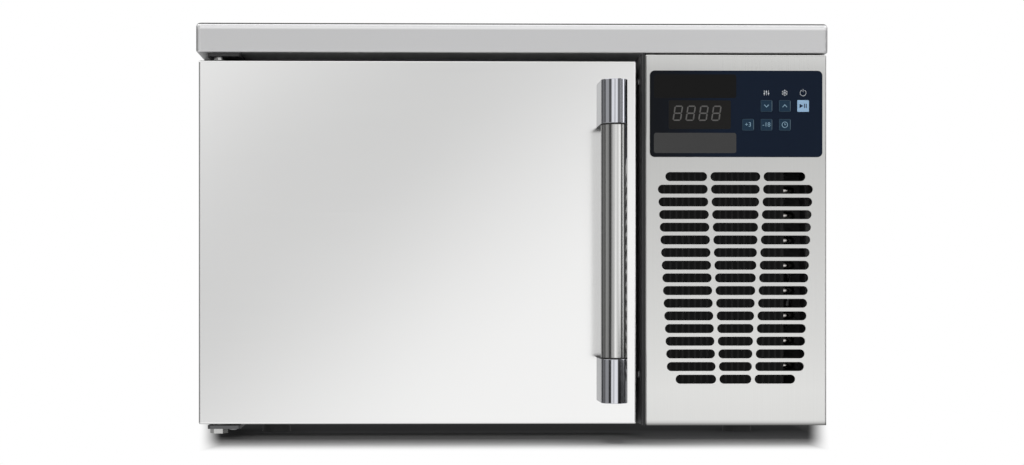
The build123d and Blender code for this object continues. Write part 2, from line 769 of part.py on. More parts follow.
def fan_motor(hub_front, hub_diameter):
    """The fixed half of the motor: plate behind the hub, winding drum and spindle inside it."""
    inside = hub_diameter / 2 - HUB_WALL - STATOR_GAP
    plate = hub_front.offset(HUB_DEPTH + STATOR_GAP)
    with BuildPart() as motor:
        with BuildSketch(plate):
            Circle(hub_diameter / 2)
        extrude(amount=STATOR_PLATE)
        with BuildSketch(plate):
            Circle(inside)
            Circle(SPINDLE / 2 + BEARING_WALL + STATOR_GAP, mode=Mode.SUBTRACT)
        extrude(amount=-STATOR_DEPTH)
        with BuildSketch(plate):
            Circle(SPINDLE / 2)
        extrude(amount=-(HUB_DEPTH + STATOR_GAP - HUB_FACE - STATOR_GAP / 2))
    return motor


def fan_bracket(hub_front, carrier_y, opening):
    """A folded strap behind the motor, with a foot each side on the plate that carries the fan."""
    centre = hub_front.origin
    half = opening / 2 + BRACKET_OFFSET
    seat_y = centre.Y + HUB_DEPTH + STATOR_GAP + STATOR_PLATE + BRACKET / 2
    foot_y = carrier_y + BRACKET / 2
    with BuildPart() as bracket:
        with BuildSketch(Plane.XY.offset(centre.Z - BRACKET_WIDTH / 2)):
            with BuildLine():
                FilletPolyline(
                    (centre.X - half - BRACKET_FOOT, foot_y),
                    (centre.X - half, foot_y),
                    (centre.X - half, seat_y),
                    (centre.X + half, seat_y),
                    (centre.X + half, foot_y),
                    (centre.X + half + BRACKET_FOOT, foot_y),
                    radius=BRACKET_FOLD,
                )
            trace(line_width=BRACKET)
        extrude(amount=BRACKET_WIDTH)
    return bracket


def fan_plane(place, y):
    """Plane of a fan hub's front face, with its normal to the back."""
    return Plane((place[0], y, place[1]), x_dir=(1, 0, 0), z_dir=(0, 1, 0))


evaporator_hub = fan_plane(fan_place, baffle_back + FAN_SETBACK)
evaporator_fan = fan_rotor(evaporator_hub, FAN_OPENING, HUB_DIAMETER)
save(evaporator_fan, "evaporator_fan")
evaporator_fan_motor = fan_motor(evaporator_hub, HUB_DIAMETER)
save(evaporator_fan_motor, "evaporator_fan_motor")
evaporator_fan_bracket = fan_bracket(evaporator_hub, baffle_back, FAN_OPENING)
save(evaporator_fan_bracket, "evaporator_fan_bracket")

# Condenser behind the grille, its tubes level with every second slot row
coil_x = (bay_left + COIL_LEFT_MARGIN, bay_right - COIL_RIGHT_MARGIN)
coil_y = (front + COIL_SETBACK, front + COIL_SETBACK + COIL_DEPTH)
coil_z = (floor + COIL_RISE, grille_level(0) + COIL_HEAD)
condenser_coil = finned_coil(coil_x, coil_y, coil_z, floor)
save(condenser_coil, "condenser_coil")

tube_levels = [grille_level(row) for row in range(1, GRILLE_ROWS, 2)]
tube_rows = grow((middle(coil_y), middle(coil_y)), TUBE_ROW_PITCH / 2)
with BuildPart() as condenser_bends:
    for z in tube_levels:
        with BuildLine() as bend:
            first = Line((coil_x[1], tube_rows[0], z), (coil_x[1] + TUBE_STUB, tube_rows[0], z))
            turn = ThreePointArc(
                first @ 1,
                (coil_x[1] + TUBE_STUB + TUBE_ROW_PITCH / 2, middle(tube_rows), z),
                (coil_x[1] + TUBE_STUB, tube_rows[1], z),
            )
            Line(turn @ 1, (coil_x[1], tube_rows[1], z))
        with BuildSketch(Plane(first @ 0, z_dir=first % 0)):
            Circle(TUBE_DIAMETER / 2)
        sweep(path=bend.wires()[0])
save(condenser_bends, "condenser_bends")

# Condenser fan in its shroud
shroud_x = (coil_x[0], bay_right - SHROUD_RIGHT_MARGIN)
shroud_y = (coil_y[1], coil_y[1] + SHROUD_DEPTH)
condenser_place = (middle(shroud_x), middle((floor, coil_z[1])))
with BuildPart() as condenser_shroud:
    with BuildSketch(front_plane(shroud_y[0])):
        rectangle_between(shroud_x, (floor, coil_z[1]))
    extrude(amount=-SHROUD_DEPTH)
    offset(amount=-SHROUD_SHEET, openings=condenser_shroud.faces().sort_by(Axis.Y)[0])
    with BuildSketch(front_plane(shroud_y[0])):
        with Locations(condenser_place):
            Circle(CONDENSER_OPENING / 2)
    extrude(amount=-SHROUD_DEPTH, mode=Mode.SUBTRACT)
save(condenser_shroud, "condenser_shroud")

condenser_hub = fan_plane(condenser_place, shroud_y[1] - HUB_DEPTH / 2)
condenser_fan = fan_rotor(condenser_hub, CONDENSER_OPENING, CONDENSER_HUB)
save(condenser_fan, "condenser_fan")
condenser_fan_motor = fan_motor(condenser_hub, CONDENSER_HUB)
save(condenser_fan_motor, "condenser_fan_motor")
condenser_fan_bracket = fan_bracket(condenser_hub, shroud_y[1], CONDENSER_OPENING)
save(condenser_fan_bracket, "condenser_fan_bracket")

# Compressor: a welded pot on a plate, carried by four rubber mounts
pot_radius = COMPRESSOR_DIAMETER / 2
pot_x = bay_middle
pot_y = rear_inner - COMPRESSOR_SETBACK - pot_radius
plate_z = floor + GROMMET_HEIGHT
pot_z = (plate_z + COMPRESSOR_PLATE_SHEET, plate_z + COMPRESSOR_HEIGHT)
seam_z = middle(pot_z)
mount_places = [
    (pot_x + across * MOUNT_SPACING[0] / 2, pot_y + along * MOUNT_SPACING[1] / 2)
    for across in (-1, 1)
    for along in (-1, 1)
]
stub_reach = (pot_radius**2 - STUB_SPREAD**2) ** 0.5
discharge_place = (pot_x + STUB_SPREAD, pot_y - stub_reach - STUB_LENGTH)
suction_end = (pot_x - STUB_SPREAD, pot_y + stub_reach + STUB_LENGTH)
with BuildPart() as compressor:
    with BuildSketch(front_plane(pot_y)):
        with BuildLine():
            edge = pot_x + pot_radius
            foot = Line((pot_x, pot_z[0]), (edge - COMPRESSOR_SHOULDER, pot_z[0]))
            lower = RadiusArc(foot @ 1, (edge, pot_z[0] + COMPRESSOR_SHOULDER), -COMPRESSOR_SHOULDER)
            seam = Polyline(
                lower @ 1,
                (edge, seam_z - COMPRESSOR_SEAM),
                (edge + COMPRESSOR_SEAM, seam_z - COMPRESSOR_SEAM),
                (edge + COMPRESSOR_SEAM, seam_z),
                (edge, seam_z),
                (edge, pot_z[1] - COMPRESSOR_SHOULDER),
            )
            upper = RadiusArc(seam @ 1, (edge - COMPRESSOR_SHOULDER, pot_z[1]), -COMPRESSOR_SHOULDER)
            Polyline(upper @ 1, (pot_x, pot_z[1]), (pot_x, pot_z[0]))
        make_face()
    revolve(axis=Axis((pot_x, pot_y, 0), (0, 0, 1)))
    with BuildSketch(Plane.XY.offset(plate_z)):
        with Locations((pot_x, pot_y)):
            RectangleRounded(*COMPRESSOR_PLATE, GROMMET_NECK)
        with Locations(*mount_places):
            Circle(GROMMET_NECK / 2 + GROMMET_CLEARANCE, mode=Mode.SUBTRACT)
    extrude(amount=COMPRESSOR_PLATE_SHEET)
    with BuildSketch(front_plane(discharge_place[1])):
        with Locations((discharge_place[0], seam_z + COMPRESSOR_SHOULDER)):
            Circle(DISCHARGE_PIPE / 2)
    extrude(amount=-(STUB_LENGTH + COMPRESSOR_SHOULDER))
    with BuildSketch(front_plane(suction_end[1])):
        with Locations((suction_end[0], seam_z + COMPRESSOR_SHOULDER)):
            Circle(SUCTION_PIPE / 2)
    extrude(amount=STUB_LENGTH + COMPRESSOR_SHOULDER)
save(compressor, "compressor")

with BuildPart() as compressor_mounts:
    with BuildSketch(Plane.XY.offset(floor)):
        with Locations(*mount_places):
            Circle(GROMMET_DIAMETER / 2)
    extrude(amount=GROMMET_HEIGHT)
    with BuildSketch(Plane.XY.offset(plate_z)):
        with Locations(*mount_places):
            Circle(GROMMET_NECK / 2)
    extrude(amount=COMPRESSOR_PLATE_SHEET)
    with BuildSketch(Plane.XY.offset(plate_z + COMPRESSOR_PLATE_SHEET)):
        with Locations(*mount_places):
            Circle(GROMMET_NECK / 2 + GROMMET_CLEARANCE)
    extrude(amount=GROMMET_CAP)
save(compressor_mounts, "compressor_mounts")

with BuildPart() as compressor_terminal_cover:
    with BuildSketch(side_plane(pot_x + pot_radius - TERMINAL_BOX[1] / 2)):
        with Locations((pot_y, seam_z + COMPRESSOR_SEAM + TERMINAL_BOX[2] / 2)):
            RectangleRounded(TERMINAL_BOX[0], TERMINAL_BOX[2], BOX_CORNER)
    extrude(amount=TERMINAL_BOX[1])
    fillet(compressor_terminal_cover.faces().sort_by(Axis.X)[-1].edges(), BOX_WALL)
    with BuildSketch(Plane.XY.offset(seam_z)):
        with Locations((pot_x, pot_y)):
            Circle(pot_radius + SEAT_CLEARANCE)
    extrude(amount=pot_z[1] - seam_z, mode=Mode.SUBTRACT)
save(compressor_terminal_cover, "compressor_terminal_cover")


def pipe(points, diameter, bend):
    """A bent copper pipe through the given corners."""
    with BuildPart() as run:
        with BuildLine() as route:
            FilletPolyline(*points, radius=bend)
        with BuildSketch(Plane(route.line @ 0, z_dir=route.line % 0)):
            Circle(diameter / 2)
        sweep(path=route.wires()[0])
    return run


# Pipes: hot gas to the condenser, liquid through the drier to the evaporator, gas back to the pot
stub_z = seam_z + COMPRESSOR_SHOULDER
over_coil = coil_z[1] + LANE
inlet_x = coil_x[1] - LANE
discharge_pipe = pipe(
    (
        (discharge_place[0], discharge_place[1], stub_z),
        (discharge_place[0], discharge_place[1] - 2 * LANE, stub_z),
        (discharge_place[0], discharge_place[1] - 2 * LANE, over_coil),
        (inlet_x, discharge_place[1] - 4 * LANE, over_coil),
        (inlet_x, middle(coil_y), over_coil),
        (inlet_x, middle(coil_y), coil_z[1]),
    ),
    DISCHARGE_PIPE,
    PIPE_BEND,
)
save(discharge_pipe, "discharge_pipe")

suction_pipe = pipe(
    (
        (evaporator_x[1], *suction_place),
        (bay_left + 2 * LANE, *suction_place),
        (bay_left + 2 * LANE, suction_place[0], stub_z),
        (suction_end[0], suction_place[0], stub_z),
        (suction_end[0], suction_end[1], stub_z),
    ),
    SUCTION_PIPE,
    PIPE_BEND,
)
save(suction_pipe, "suction_pipe")

liquid_lane = bay_left + LANE / 2
drier_x = bay_left + DRIER_DIAMETER
drier_y = (shroud_y[1] + DRIER_LENGTH, shroud_y[1] + 2 * DRIER_LENGTH)
liquid_z = tube_levels[-1]
with BuildPart() as filter_drier:
    with BuildSketch(Plane.XY.offset(liquid_z)):
        with BuildLine():
            neck = LIQUID_PIPE / 2
            Polyline(
                (drier_x, drier_y[0]),
                (drier_x + neck, drier_y[0]),
                (drier_x + DRIER_DIAMETER / 2, drier_y[0] + DRIER_CONE),
                (drier_x + DRIER_DIAMETER / 2, drier_y[1] - DRIER_CONE),
                (drier_x + neck, drier_y[1]),
                (drier_x, drier_y[1]),
                close=True,
            )
        make_face()
    revolve(axis=Axis((drier_x, 0, liquid_z), (0, 1, 0)))
save(filter_drier, "filter_drier")

liquid_in = pipe(
    (
        (coil_x[0], tube_rows[1], liquid_z),
        (liquid_lane, tube_rows[1], liquid_z),
        (liquid_lane, shroud_y[1] + LANE, liquid_z),
        (drier_x, drier_y[0] - LANE, liquid_z),
        (drier_x, drier_y[0], liquid_z),
    ),
    LIQUID_PIPE,
    LIQUID_BEND,
)
liquid_out = pipe(
    (
        (drier_x, drier_y[1], liquid_z),
        (drier_x, drier_y[1] + LANE, liquid_z),
        (liquid_lane, drier_y[1] + 3 * LANE, liquid_z),
        (liquid_lane, liquid_place[0], liquid_z),
        (liquid_lane, *liquid_place),
        (evaporator_x[1], *liquid_place),
    ),
    LIQUID_PIPE,
    LIQUID_BEND,
)
with BuildPart() as liquid_pipe:
    add(liquid_in.part)
    add(liquid_out.part)
save(liquid_pipe, "liquid_pipe")

# Cable gland in the rear panel, for the supply cord
with BuildPart() as power_gland:
    with BuildSketch(front_plane(rear_inner - GLAND_NUT_HEIGHT)):
        with Locations(gland_place):
            RegularPolygon(GLAND_NUT / 2, 6, major_radius=False)
    extrude(amount=-GLAND_NUT_HEIGHT)
    with BuildSketch(front_plane(rear_inner)):
        with Locations(gland_place):
            Circle(GLAND_THREAD / 2)
    extrude(amount=-SHEET)
    with BuildSketch(front_plane(rear_outer)):
        with Locations(gland_place):
            RegularPolygon(GLAND_NUT / 2, 6, major_radius=False)
    extrude(amount=-GLAND_NUT_HEIGHT)
    with BuildSketch(front_plane(rear_outer + GLAND_NUT_HEIGHT)):
        with Locations(gland_place):
            Circle(GLAND_NUT / 2)
    extrude(amount=-GLAND_DOME)
    fillet(power_gland.edges().group_by(Axis.Y)[-1], GLAND_DOME / 2)
    with BuildSketch(front_plane(rear_inner - GLAND_NUT_HEIGHT)):
        with Locations(gland_place):
            Circle(GLAND_BORE / 2)
    extrude(amount=-(2 * GLAND_NUT_HEIGHT + SHEET + GLAND_DOME), mode=Mode.SUBTRACT)
save(power_gland, "power_gland")

# Control overlay: a sheet over the panel's window, open for the keys and the display
with BuildPart() as control_overlay:
    with BuildSketch(front_plane(front)):
        rectangle_between(overlay_x, overlay_z, OVERLAY_CORNER)
        with Locations(*key_places.values()):
            hole = KEY_SIZE + 2 * KEY_CLEARANCE
            RectangleRounded(hole, hole, KEY_CORNER + KEY_CLEARANCE, mode=Mode.SUBTRACT)
        with Locations(display_place):
            RectangleRounded(DISPLAY_WIDTH, DISPLAY_HEIGHT, DISPLAY_CORNER, mode=Mode.SUBTRACT)
    extrude(amount=OVERLAY)
save(control_overlay, "control_overlay")

with BuildPart() as display_window:
    with BuildSketch(front_plane(front)):
        with Locations(display_place):
            lens = (DISPLAY_WIDTH - 2 * SEAT_CLEARANCE, DISPLAY_HEIGHT - 2 * SEAT_CLEARANCE)
            RectangleRounded(*lens, DISPLAY_CORNER - SEAT_CLEARANCE)
    extrude(amount=OVERLAY)
    with BuildSketch(front_plane(front)):
        with Locations(display_place):
            Rectangle(DISPLAY_WIDTH + 2 * KEY_FLANGE, DISPLAY_HEIGHT + 2 * KEY_FLANGE)
    extrude(amount=-KEY_FLANGE)
save(display_window, "display_window")

board_y = front + BOARD_SETBACK
switch_top = board_y - SWITCH_HEIGHT


def push_key(place):
    """A key cap in its overlay hole, with the flange that holds it in and the stem to its switch."""
    flange_front = front + SEAT_CLEARANCE
    stem_end = switch_top - KEY_TRAVEL - SEAT_CLEARANCE
    with BuildPart() as key:
        with BuildSketch(front_plane(flange_front)):
            with Locations(place):
                RectangleRounded(KEY_SIZE, KEY_SIZE, KEY_CORNER)
        extrude(amount=flange_front - overlay_face + KEY_PROUD)
        fillet(key.edges().group_by(Axis.Y)[0], KEY_PROUD / 2)
        with BuildSketch(front_plane(flange_front)):
            with Locations(place):
                Rectangle(KEY_SIZE + 2 * KEY_FLANGE, KEY_SIZE + 2 * KEY_FLANGE)
        extrude(amount=-KEY_FLANGE)
        with BuildSketch(front_plane(flange_front)):
            with Locations(place):
                Circle(KEY_STEM / 2)
        extrude(amount=-(stem_end - flange_front))
    return key


for key_name, key_place in key_places.items():
    save(push_key(key_place), key_name)

# Control board in its box behind the window
board_x = grow(window_x, BOX_MARGIN - BOX_WALL - BOARD_INSET)
board_z = grow(window_z, BOX_MARGIN - BOX_WALL - BOARD_INSET)
boss_places = [(x, z) for x in grow(board_x, -BOSS) for z in grow(board_z, -BOSS)]
with BuildPart() as control_box:
    with BuildSketch(front_plane(panel_inner)):
        rectangle_between(grow(window_x, BOX_MARGIN), grow(window_z, BOX_MARGIN), BOX_CORNER)
    extrude(amount=-BOX_DEPTH)
    offset(amount=-BOX_WALL, openings=control_box.faces().sort_by(Axis.Y)[0])
    with BuildSketch(front_plane(board_y + BOARD)):
        with Locations(*boss_places):
            Circle(BOSS / 2)
    extrude(amount=-(panel_inner + BOX_DEPTH - BOX_WALL - board_y - BOARD))
save(control_box, "control_box")

with BuildPart() as control_board:
    with BuildSketch(front_plane(board_y)):
        rectangle_between(board_x, board_z)
    extrude(amount=-BOARD)
    with BuildSketch(front_plane(board_y)):
        with Locations(*key_places.values()):
            Rectangle(SWITCH_SIZE, SWITCH_SIZE)
    extrude(amount=SWITCH_HEIGHT)
    with BuildSketch(front_plane(board_y + BOARD)):
        with Locations((middle(board_x), middle(board_z))):
            with GridLocations(RELAY_SPACING, RELAY_SIZE[1], RELAYS, 1):
                Rectangle(RELAY_SIZE[0], RELAY_SIZE[1])
    extrude(amount=-RELAY_SIZE[2])
save(control_board, "control_board")

with BuildPart() as display_module:
    with BuildSketch(front_plane(board_y)):
        with Locations(display_place):
            Rectangle(*MODULE_SIZE)
    extrude(amount=BOARD_SETBACK - KEY_FLANGE - SEAT_CLEARANCE)
save(display_module, "display_module")

# Door: folded outer skin, foam, moulded inner liner and bellows gasket
door_x = (left + DOOR_INSET, bay_x - DOOR_SIDE_GAP)
door_z = (base + DOOR_BOTTOM_GAP, lip - DOOR_TOP_GAP)
skin_back = front + DOOR_THICKNESS - DOOR_LINER
door_back = front + DOOR_THICKNESS
pin_x = door_x[0] + PIN_INSET
pin_y = front + PIN_DEPTH
handle_x = door_x[1] - HANDLE_INSET
handle_z = grow((middle(door_z), middle(door_z)), HANDLE_LENGTH / 2)
handle_screw_levels = (handle_z[0] + HANDLE_MOUNT / 2, handle_z[1] - HANDLE_MOUNT / 2)
with BuildPart() as door_outer_skin:
    with BuildSketch(front_plane(front)):
        rectangle_between(door_x, door_z)
    extrude(amount=-(skin_back - front))
    fillet(door_outer_skin.edges().filter_by(Axis.Y), DOOR_CORNER)
    fillet(door_outer_skin.faces().sort_by(Axis.Y)[0].edges(), FOLD_RADIUS)
    offset(amount=-SHEET, openings=door_outer_skin.faces().sort_by(Axis.Y)[-1])
    with BuildSketch(Plane.XY.offset(door_z[0])):
        with Locations((pin_x, pin_y)):
            Circle(BUSH_DIAMETER / 2)
    extrude(amount=door_z[1] - door_z[0], mode=Mode.SUBTRACT)
    with BuildSketch(front_plane(front)):
        with Locations(*[(handle_x, z) for z in handle_screw_levels]):
            Circle(HANDLE_SCREW / 2 + SCREW_CLEARANCE)
    extrude(amount=-SHEET, mode=Mode.SUBTRACT)
save(door_outer_skin, "door_outer_skin")

with BuildPart() as hinge_bushes:
    for end, inward in ((door_z[0], 1), (door_z[1], -1)):
        with BuildSketch(Plane.XY.offset(end)):
            with Locations((pin_x, pin_y)):
                Circle(BUSH_DIAMETER / 2)
                Circle(PIN_DIAMETER / 2 + PIN_CLEARANCE, mode=Mode.SUBTRACT)
        extrude(amount=inward * BUSH_LENGTH)
        with BuildSketch(Plane.XY.offset(end)):
            with Locations((pin_x, pin_y)):
                Circle(BUSH_FLANGE_DIAMETER / 2)
                Circle(PIN_DIAMETER / 2 + PIN_CLEARANCE, mode=Mode.SUBTRACT)
        extrude(amount=-inward * BUSH_FLANGE)
save(hinge_bushes, "hinge_bushes")

with BuildPart() as handle_screws:
    with BuildSketch(front_plane(panel_inner)):
        with Locations(*[(handle_x, z) for z in handle_screw_levels]):
            Circle(HANDLE_SCREW / 2)
    extrude(amount=HANDLE_SCREW_GRIP)
    with BuildSketch(front_plane(panel_inner)):
        with Locations(*[(handle_x, z) for z in handle_screw_levels]):
            RegularPolygon(HANDLE_SCREW_HEAD / 2, 6, major_radius=False)
    extrude(amount=-HANDLE_SCREW)
save(handle_screws, "handle_screws")

with BuildPart() as door_insulation:
    with BuildSketch(front_plane(panel_inner)):
        rectangle_between(grow(door_x, -SHEET), grow(door_z, -SHEET))
    extrude(amount=-(skin_back - panel_inner))
    for start, inward in ((door_z[0], 1), (door_z[1], -1)):
        with BuildSketch(Plane.XY.offset(start)):
            with Locations((pin_x, pin_y)):
                Circle(BUSH_DIAMETER / 2)
        extrude(amount=inward * BUSH_LENGTH, mode=Mode.SUBTRACT)
    add(handle_screws.part, mode=Mode.SUBTRACT)
    add(door_outer_skin.part, mode=Mode.SUBTRACT)
save(door_insulation, "door_insulation")

seal_x = grow(door_x, -PIN_INSET - SEAL_PIN_GAP)
seal_z = grow(door_z, -PIN_INSET - SEAL_PIN_GAP)
with BuildPart() as door_inner_liner:
    with BuildSketch(front_plane(skin_back)):
        rectangle_between(door_x, door_z, DOOR_CORNER)
    extrude(amount=-DOOR_LINER)
    with BuildSketch(front_plane(door_back)):
        plug_margin = -SEAL_WIDTH - PLUG_INSET
        rectangle_between(grow(seal_x, plug_margin), grow(seal_z, plug_margin), PLUG_CORNER)
    extrude(amount=-DOOR_PLUG, taper=PLUG_DRAFT)
save(door_inner_liner, "door_inner_liner")

# Gasket: a base strip, a bellows neck and a round-edged head in one ring
seal_depth = (SEAL - SEAL_CLEARANCE) / 3
seal_layers = (
    (0, SEAL_WIDTH),
    (1, SEAL_NECK),
    (2, SEAL_WIDTH - 2 * SEAL_HEAD_CUT),
)
with BuildPart() as door_gasket:
    for layer, width in seal_layers:
        margin = (SEAL_WIDTH - width) / 2
        with BuildSketch(front_plane(door_back + layer * seal_depth)):
            rectangle_between(grow(seal_x, -margin), grow(seal_z, -margin), SEAL_CORNER)
            rectangle_between(
                grow(seal_x, margin - SEAL_WIDTH), grow(seal_z, margin - SEAL_WIDTH), mode=Mode.SUBTRACT
            )
        extrude(amount=-seal_depth)
save(door_gasket, "door_gasket")

# Hinge brackets, pins and screws
plate_x = (pin_x - HINGE_NOSE, pin_x - HINGE_NOSE + HINGE_WIDTH)
hinge_bolt_x = grow(plate_x, -HINGE_BOLT_INSET)
upper_bolt_z = lip - HINGE_LEG + HINGE_BOLT_INSET
with BuildPart() as upper_hinge_bracket:
    with BuildSketch(Plane.XY.offset(lip - HINGE_PLATE)):
        rectangle_between(plate_x, (pin_y - HINGE_NOSE, frame_y))
        with Locations((pin_x, pin_y)):
            Circle(PIN_DIAMETER / 2, mode=Mode.SUBTRACT)
    extrude(amount=HINGE_PLATE)
    with BuildSketch(front_plane(frame_y)):
        rectangle_between(plate_x, (lip - HINGE_LEG, lip))
        with Locations(*[(x, upper_bolt_z) for x in hinge_bolt_x]):
            Circle(SCREW_SHANK / 2 + SCREW_CLEARANCE, mode=Mode.SUBTRACT)
    extrude(amount=HINGE_PLATE)
    fillet(upper_hinge_bracket.edges().filter_by(Axis.Z).group_by(Axis.Y)[0], HINGE_PLATE)
save(upper_hinge_bracket, "upper_hinge_bracket")

lower_bolt_places = [(x, frame_back + HINGE_TAIL - HINGE_BOLT_INSET) for x in hinge_bolt_x]
lower_bolt_places.append((pin_x + HINGE_FRONT_BOLT[0], pin_y + HINGE_FRONT_BOLT[1]))
with BuildPart() as lower_hinge_bracket:
    with BuildSketch(Plane.XY.offset(base)):
        rectangle_between(plate_x, (pin_y - HINGE_NOSE, frame_back + HINGE_TAIL))
        with Locations((pin_x, pin_y)):
            Circle(PIN_DIAMETER / 2, mode=Mode.SUBTRACT)
        with Locations(*lower_bolt_places):
            Circle(SCREW_SHANK / 2 + SCREW_CLEARANCE, mode=Mode.SUBTRACT)
    extrude(amount=-HINGE_PLATE)
    fillet(lower_hinge_bracket.edges().filter_by(Axis.Z).group_by(Axis.Y)[0], HINGE_PLATE)
save(lower_hinge_bracket, "lower_hinge_bracket")

def screws(points, facing, grip):
    """Dome-headed screws whose heads rest at the points and face the given way."""
    with BuildPart() as group:
        with Locations(*[Plane(point, z_dir=facing) for point in points]):
            Cylinder(SCREW_SHANK / 2, grip, align=(Align.CENTER, Align.CENTER, Align.MAX))
            Cylinder(SCREW_HEAD / 2, SCREW_HEAD_HEIGHT, align=(Align.CENTER, Align.CENTER, Align.MIN))
        fillet(group.edges().group_by(Axis(points[0], facing))[-1], SCREW_HEAD_HEIGHT / 2)
    return group


# Screws of the casing: rear panel, bay trim and both hinge brackets
screw_sets = (
    screws([(x, rear_outer, z) for x, z in rear_screw_places], (0, 1, 0), SHEET),
    screws([(trim_face, trim_screw_y, z) for z in trim_screw_levels], (-1, 0, 0), TRIM),
    screws([(x, frame_y - HINGE_PLATE, upper_bolt_z) for x in hinge_bolt_x], (0, -1, 0), HINGE_PLATE),
    screws([(x, y, base - HINGE_PLATE) for x, y in lower_bolt_places], (0, 0, -1), HINGE_PLATE),
)
with BuildPart() as casing_screws:
    for screw_set in screw_sets:
        add(screw_set.part)
save(casing_screws, "casing_screws")

with BuildPart() as hinge_pins:
    with BuildSketch(Plane.XY.offset(lip)):
        with Locations((pin_x, pin_y)):
            Circle(PIN_DIAMETER / 2)
    extrude(amount=-(DOOR_TOP_GAP + PIN_REACH))
    with BuildSketch(Plane.XY.offset(base - HINGE_PLATE)):
        with Locations((pin_x, pin_y)):
            Circle(PIN_DIAMETER / 2)
    extrude(amount=HINGE_PLATE + DOOR_BOTTOM_GAP + PIN_REACH)
    with BuildSketch(Plane.XY.offset(base - HINGE_PLATE)):
        with Locations((pin_x, pin_y)):
            RegularPolygon(PIN_HEAD / 2, 6, major_radius=False)
    extrude(amount=-PIN_HEAD_HEIGHT)
save(hinge_pins, "hinge_pins")

# Handle: a round tube between two D-shaped mounts
handle_radius = HANDLE_DIAMETER / 2
handle_axis = front - HANDLE_REACH + handle_radius
spigot_radius = handle_radius - HANDLE_WALL - SPIGOT_CLEARANCE
grip_z = grow(handle_z, -HANDLE_MOUNT - HANDLE_SEAL)


def handle_outline():
    """The mounts' D: a half round in front, straight sides back to the door."""
    with Locations((handle_x, handle_axis)):
        Circle(handle_radius)
    rectangle_between(grow((handle_x, handle_x), handle_radius), (handle_axis, front))


def handle_mount(outer_end, inward):
    """One mount, from its outer end towards the grip, with the spigot that the tube slides on."""
    inner_end = outer_end + inward * HANDLE_MOUNT
    with BuildPart() as mount:
        with BuildSketch(Plane.XY.offset(outer_end)):
            handle_outline()
        extrude(amount=inward * HANDLE_MOUNT)
        fillet(mount.edges().filter_by(Axis.Z, reverse=True).filter_by(Axis.X, reverse=True), MOUNT_EDGE)
        with BuildSketch(Plane.XY.offset(inner_end)):
            with Locations((handle_x, handle_axis)):
                Circle(spigot_radius)
        extrude(amount=inward * (HANDLE_SEAL + HANDLE_SPIGOT))
        with BuildSketch(front_plane(front)):
            with Locations((handle_x, outer_end + inward * HANDLE_MOUNT / 2)):
                Circle(HANDLE_SCREW / 2 + SCREW_CLEARANCE)
        extrude(amount=HANDLE_SCREW_GRIP, mode=Mode.SUBTRACT)
    return mount


handle_mount_lower = handle_mount(handle_z[0], 1)
save(handle_mount_lower, "handle_mount_lower")
handle_mount_upper = handle_mount(handle_z[1], -1)
save(handle_mount_upper, "handle_mount_upper")

with BuildPart() as handle_seals:
    for start in (grip_z[0] - HANDLE_SEAL, grip_z[1]):
        with BuildSketch(Plane.XY.offset(start)):
            handle_outline()
            with Locations((handle_x, handle_axis)):
                Circle(spigot_radius + SPIGOT_CLEARANCE, mode=Mode.SUBTRACT)
        extrude(amount=HANDLE_SEAL)
save(handle_seals, "handle_seals")

with BuildPart() as handle_grip:
    with BuildSketch(Plane.XY.offset(grip_z[0])):
        with Locations((handle_x, handle_axis)):
            Circle(handle_radius)
            Circle(handle_radius - HANDLE_WALL, mode=Mode.SUBTRACT)
    extrude(amount=grip_z[1] - grip_z[0])
save(handle_grip, "handle_grip")
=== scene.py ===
"""Looks of a countertop blast freezer: steel, plastics, the printed control overlay, light and camera."""

import json
import math

import bmesh
import bpy
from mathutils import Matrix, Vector


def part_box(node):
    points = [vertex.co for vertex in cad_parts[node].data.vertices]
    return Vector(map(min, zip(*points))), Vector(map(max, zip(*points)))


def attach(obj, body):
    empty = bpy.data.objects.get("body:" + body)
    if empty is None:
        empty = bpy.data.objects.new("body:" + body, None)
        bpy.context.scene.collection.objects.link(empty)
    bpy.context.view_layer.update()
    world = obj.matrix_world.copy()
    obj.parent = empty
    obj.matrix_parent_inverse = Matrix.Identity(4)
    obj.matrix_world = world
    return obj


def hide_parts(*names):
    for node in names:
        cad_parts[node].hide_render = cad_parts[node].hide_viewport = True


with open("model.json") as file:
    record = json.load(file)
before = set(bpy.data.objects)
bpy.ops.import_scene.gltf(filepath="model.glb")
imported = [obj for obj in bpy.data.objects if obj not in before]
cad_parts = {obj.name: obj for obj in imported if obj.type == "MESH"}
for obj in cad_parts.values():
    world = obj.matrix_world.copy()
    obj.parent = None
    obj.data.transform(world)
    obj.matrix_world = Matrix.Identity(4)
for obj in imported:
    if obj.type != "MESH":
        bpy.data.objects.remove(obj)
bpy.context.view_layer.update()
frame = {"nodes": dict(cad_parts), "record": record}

# Sizes are in metres; PRINT is the thickness of a layer of ink
MM = 0.001
PRINT = 0.06 * MM

# The photograph's frame and the camera that it was taken with
IMAGE_WIDTH, IMAGE_HEIGHT = 1024, 465
FOCAL_PIXELS = 1630.0
CENTRE_PIXEL = (433.0, 287.4)
CAMERA_PLACE = Vector((-0.1094, -1.9785, 0.1578))
CAMERA_YAW = math.radians(0.883)
CAMERA_REACH = (0.01, 50.0)
SENSOR = 36.0

# Painted light and shade on the front panel by height, standing in for its reflection: a painted dark band
# along its folded foot, then levels upward
PANEL_PAINTED_LIGHT = (
    (0.014, 0.15), (0.0146, 0.15), (0.016, 0.85), (0.0174, 1.15), (0.0196, 1.37),
    (0.05, 1.42), (0.19, 1.19), (0.29, 1.06), (0.385, 1.09), (0.40, 1.26),
)
# Painted reflection on the worktop's front fold: where it starts, by how far it faces along Y, and its crown,
# by how far up
FRONT_FOLD = (-0.05, -0.15)
CROWN_PAINTED_REFLECTION = (
    (-1.0, 1.0), (0.1, 1.0), (0.2, 1.3), (0.5, 1.3), (0.62, 0.1), (0.985, 0.1), (0.998, 1.0), (1.0, 1.0),
)
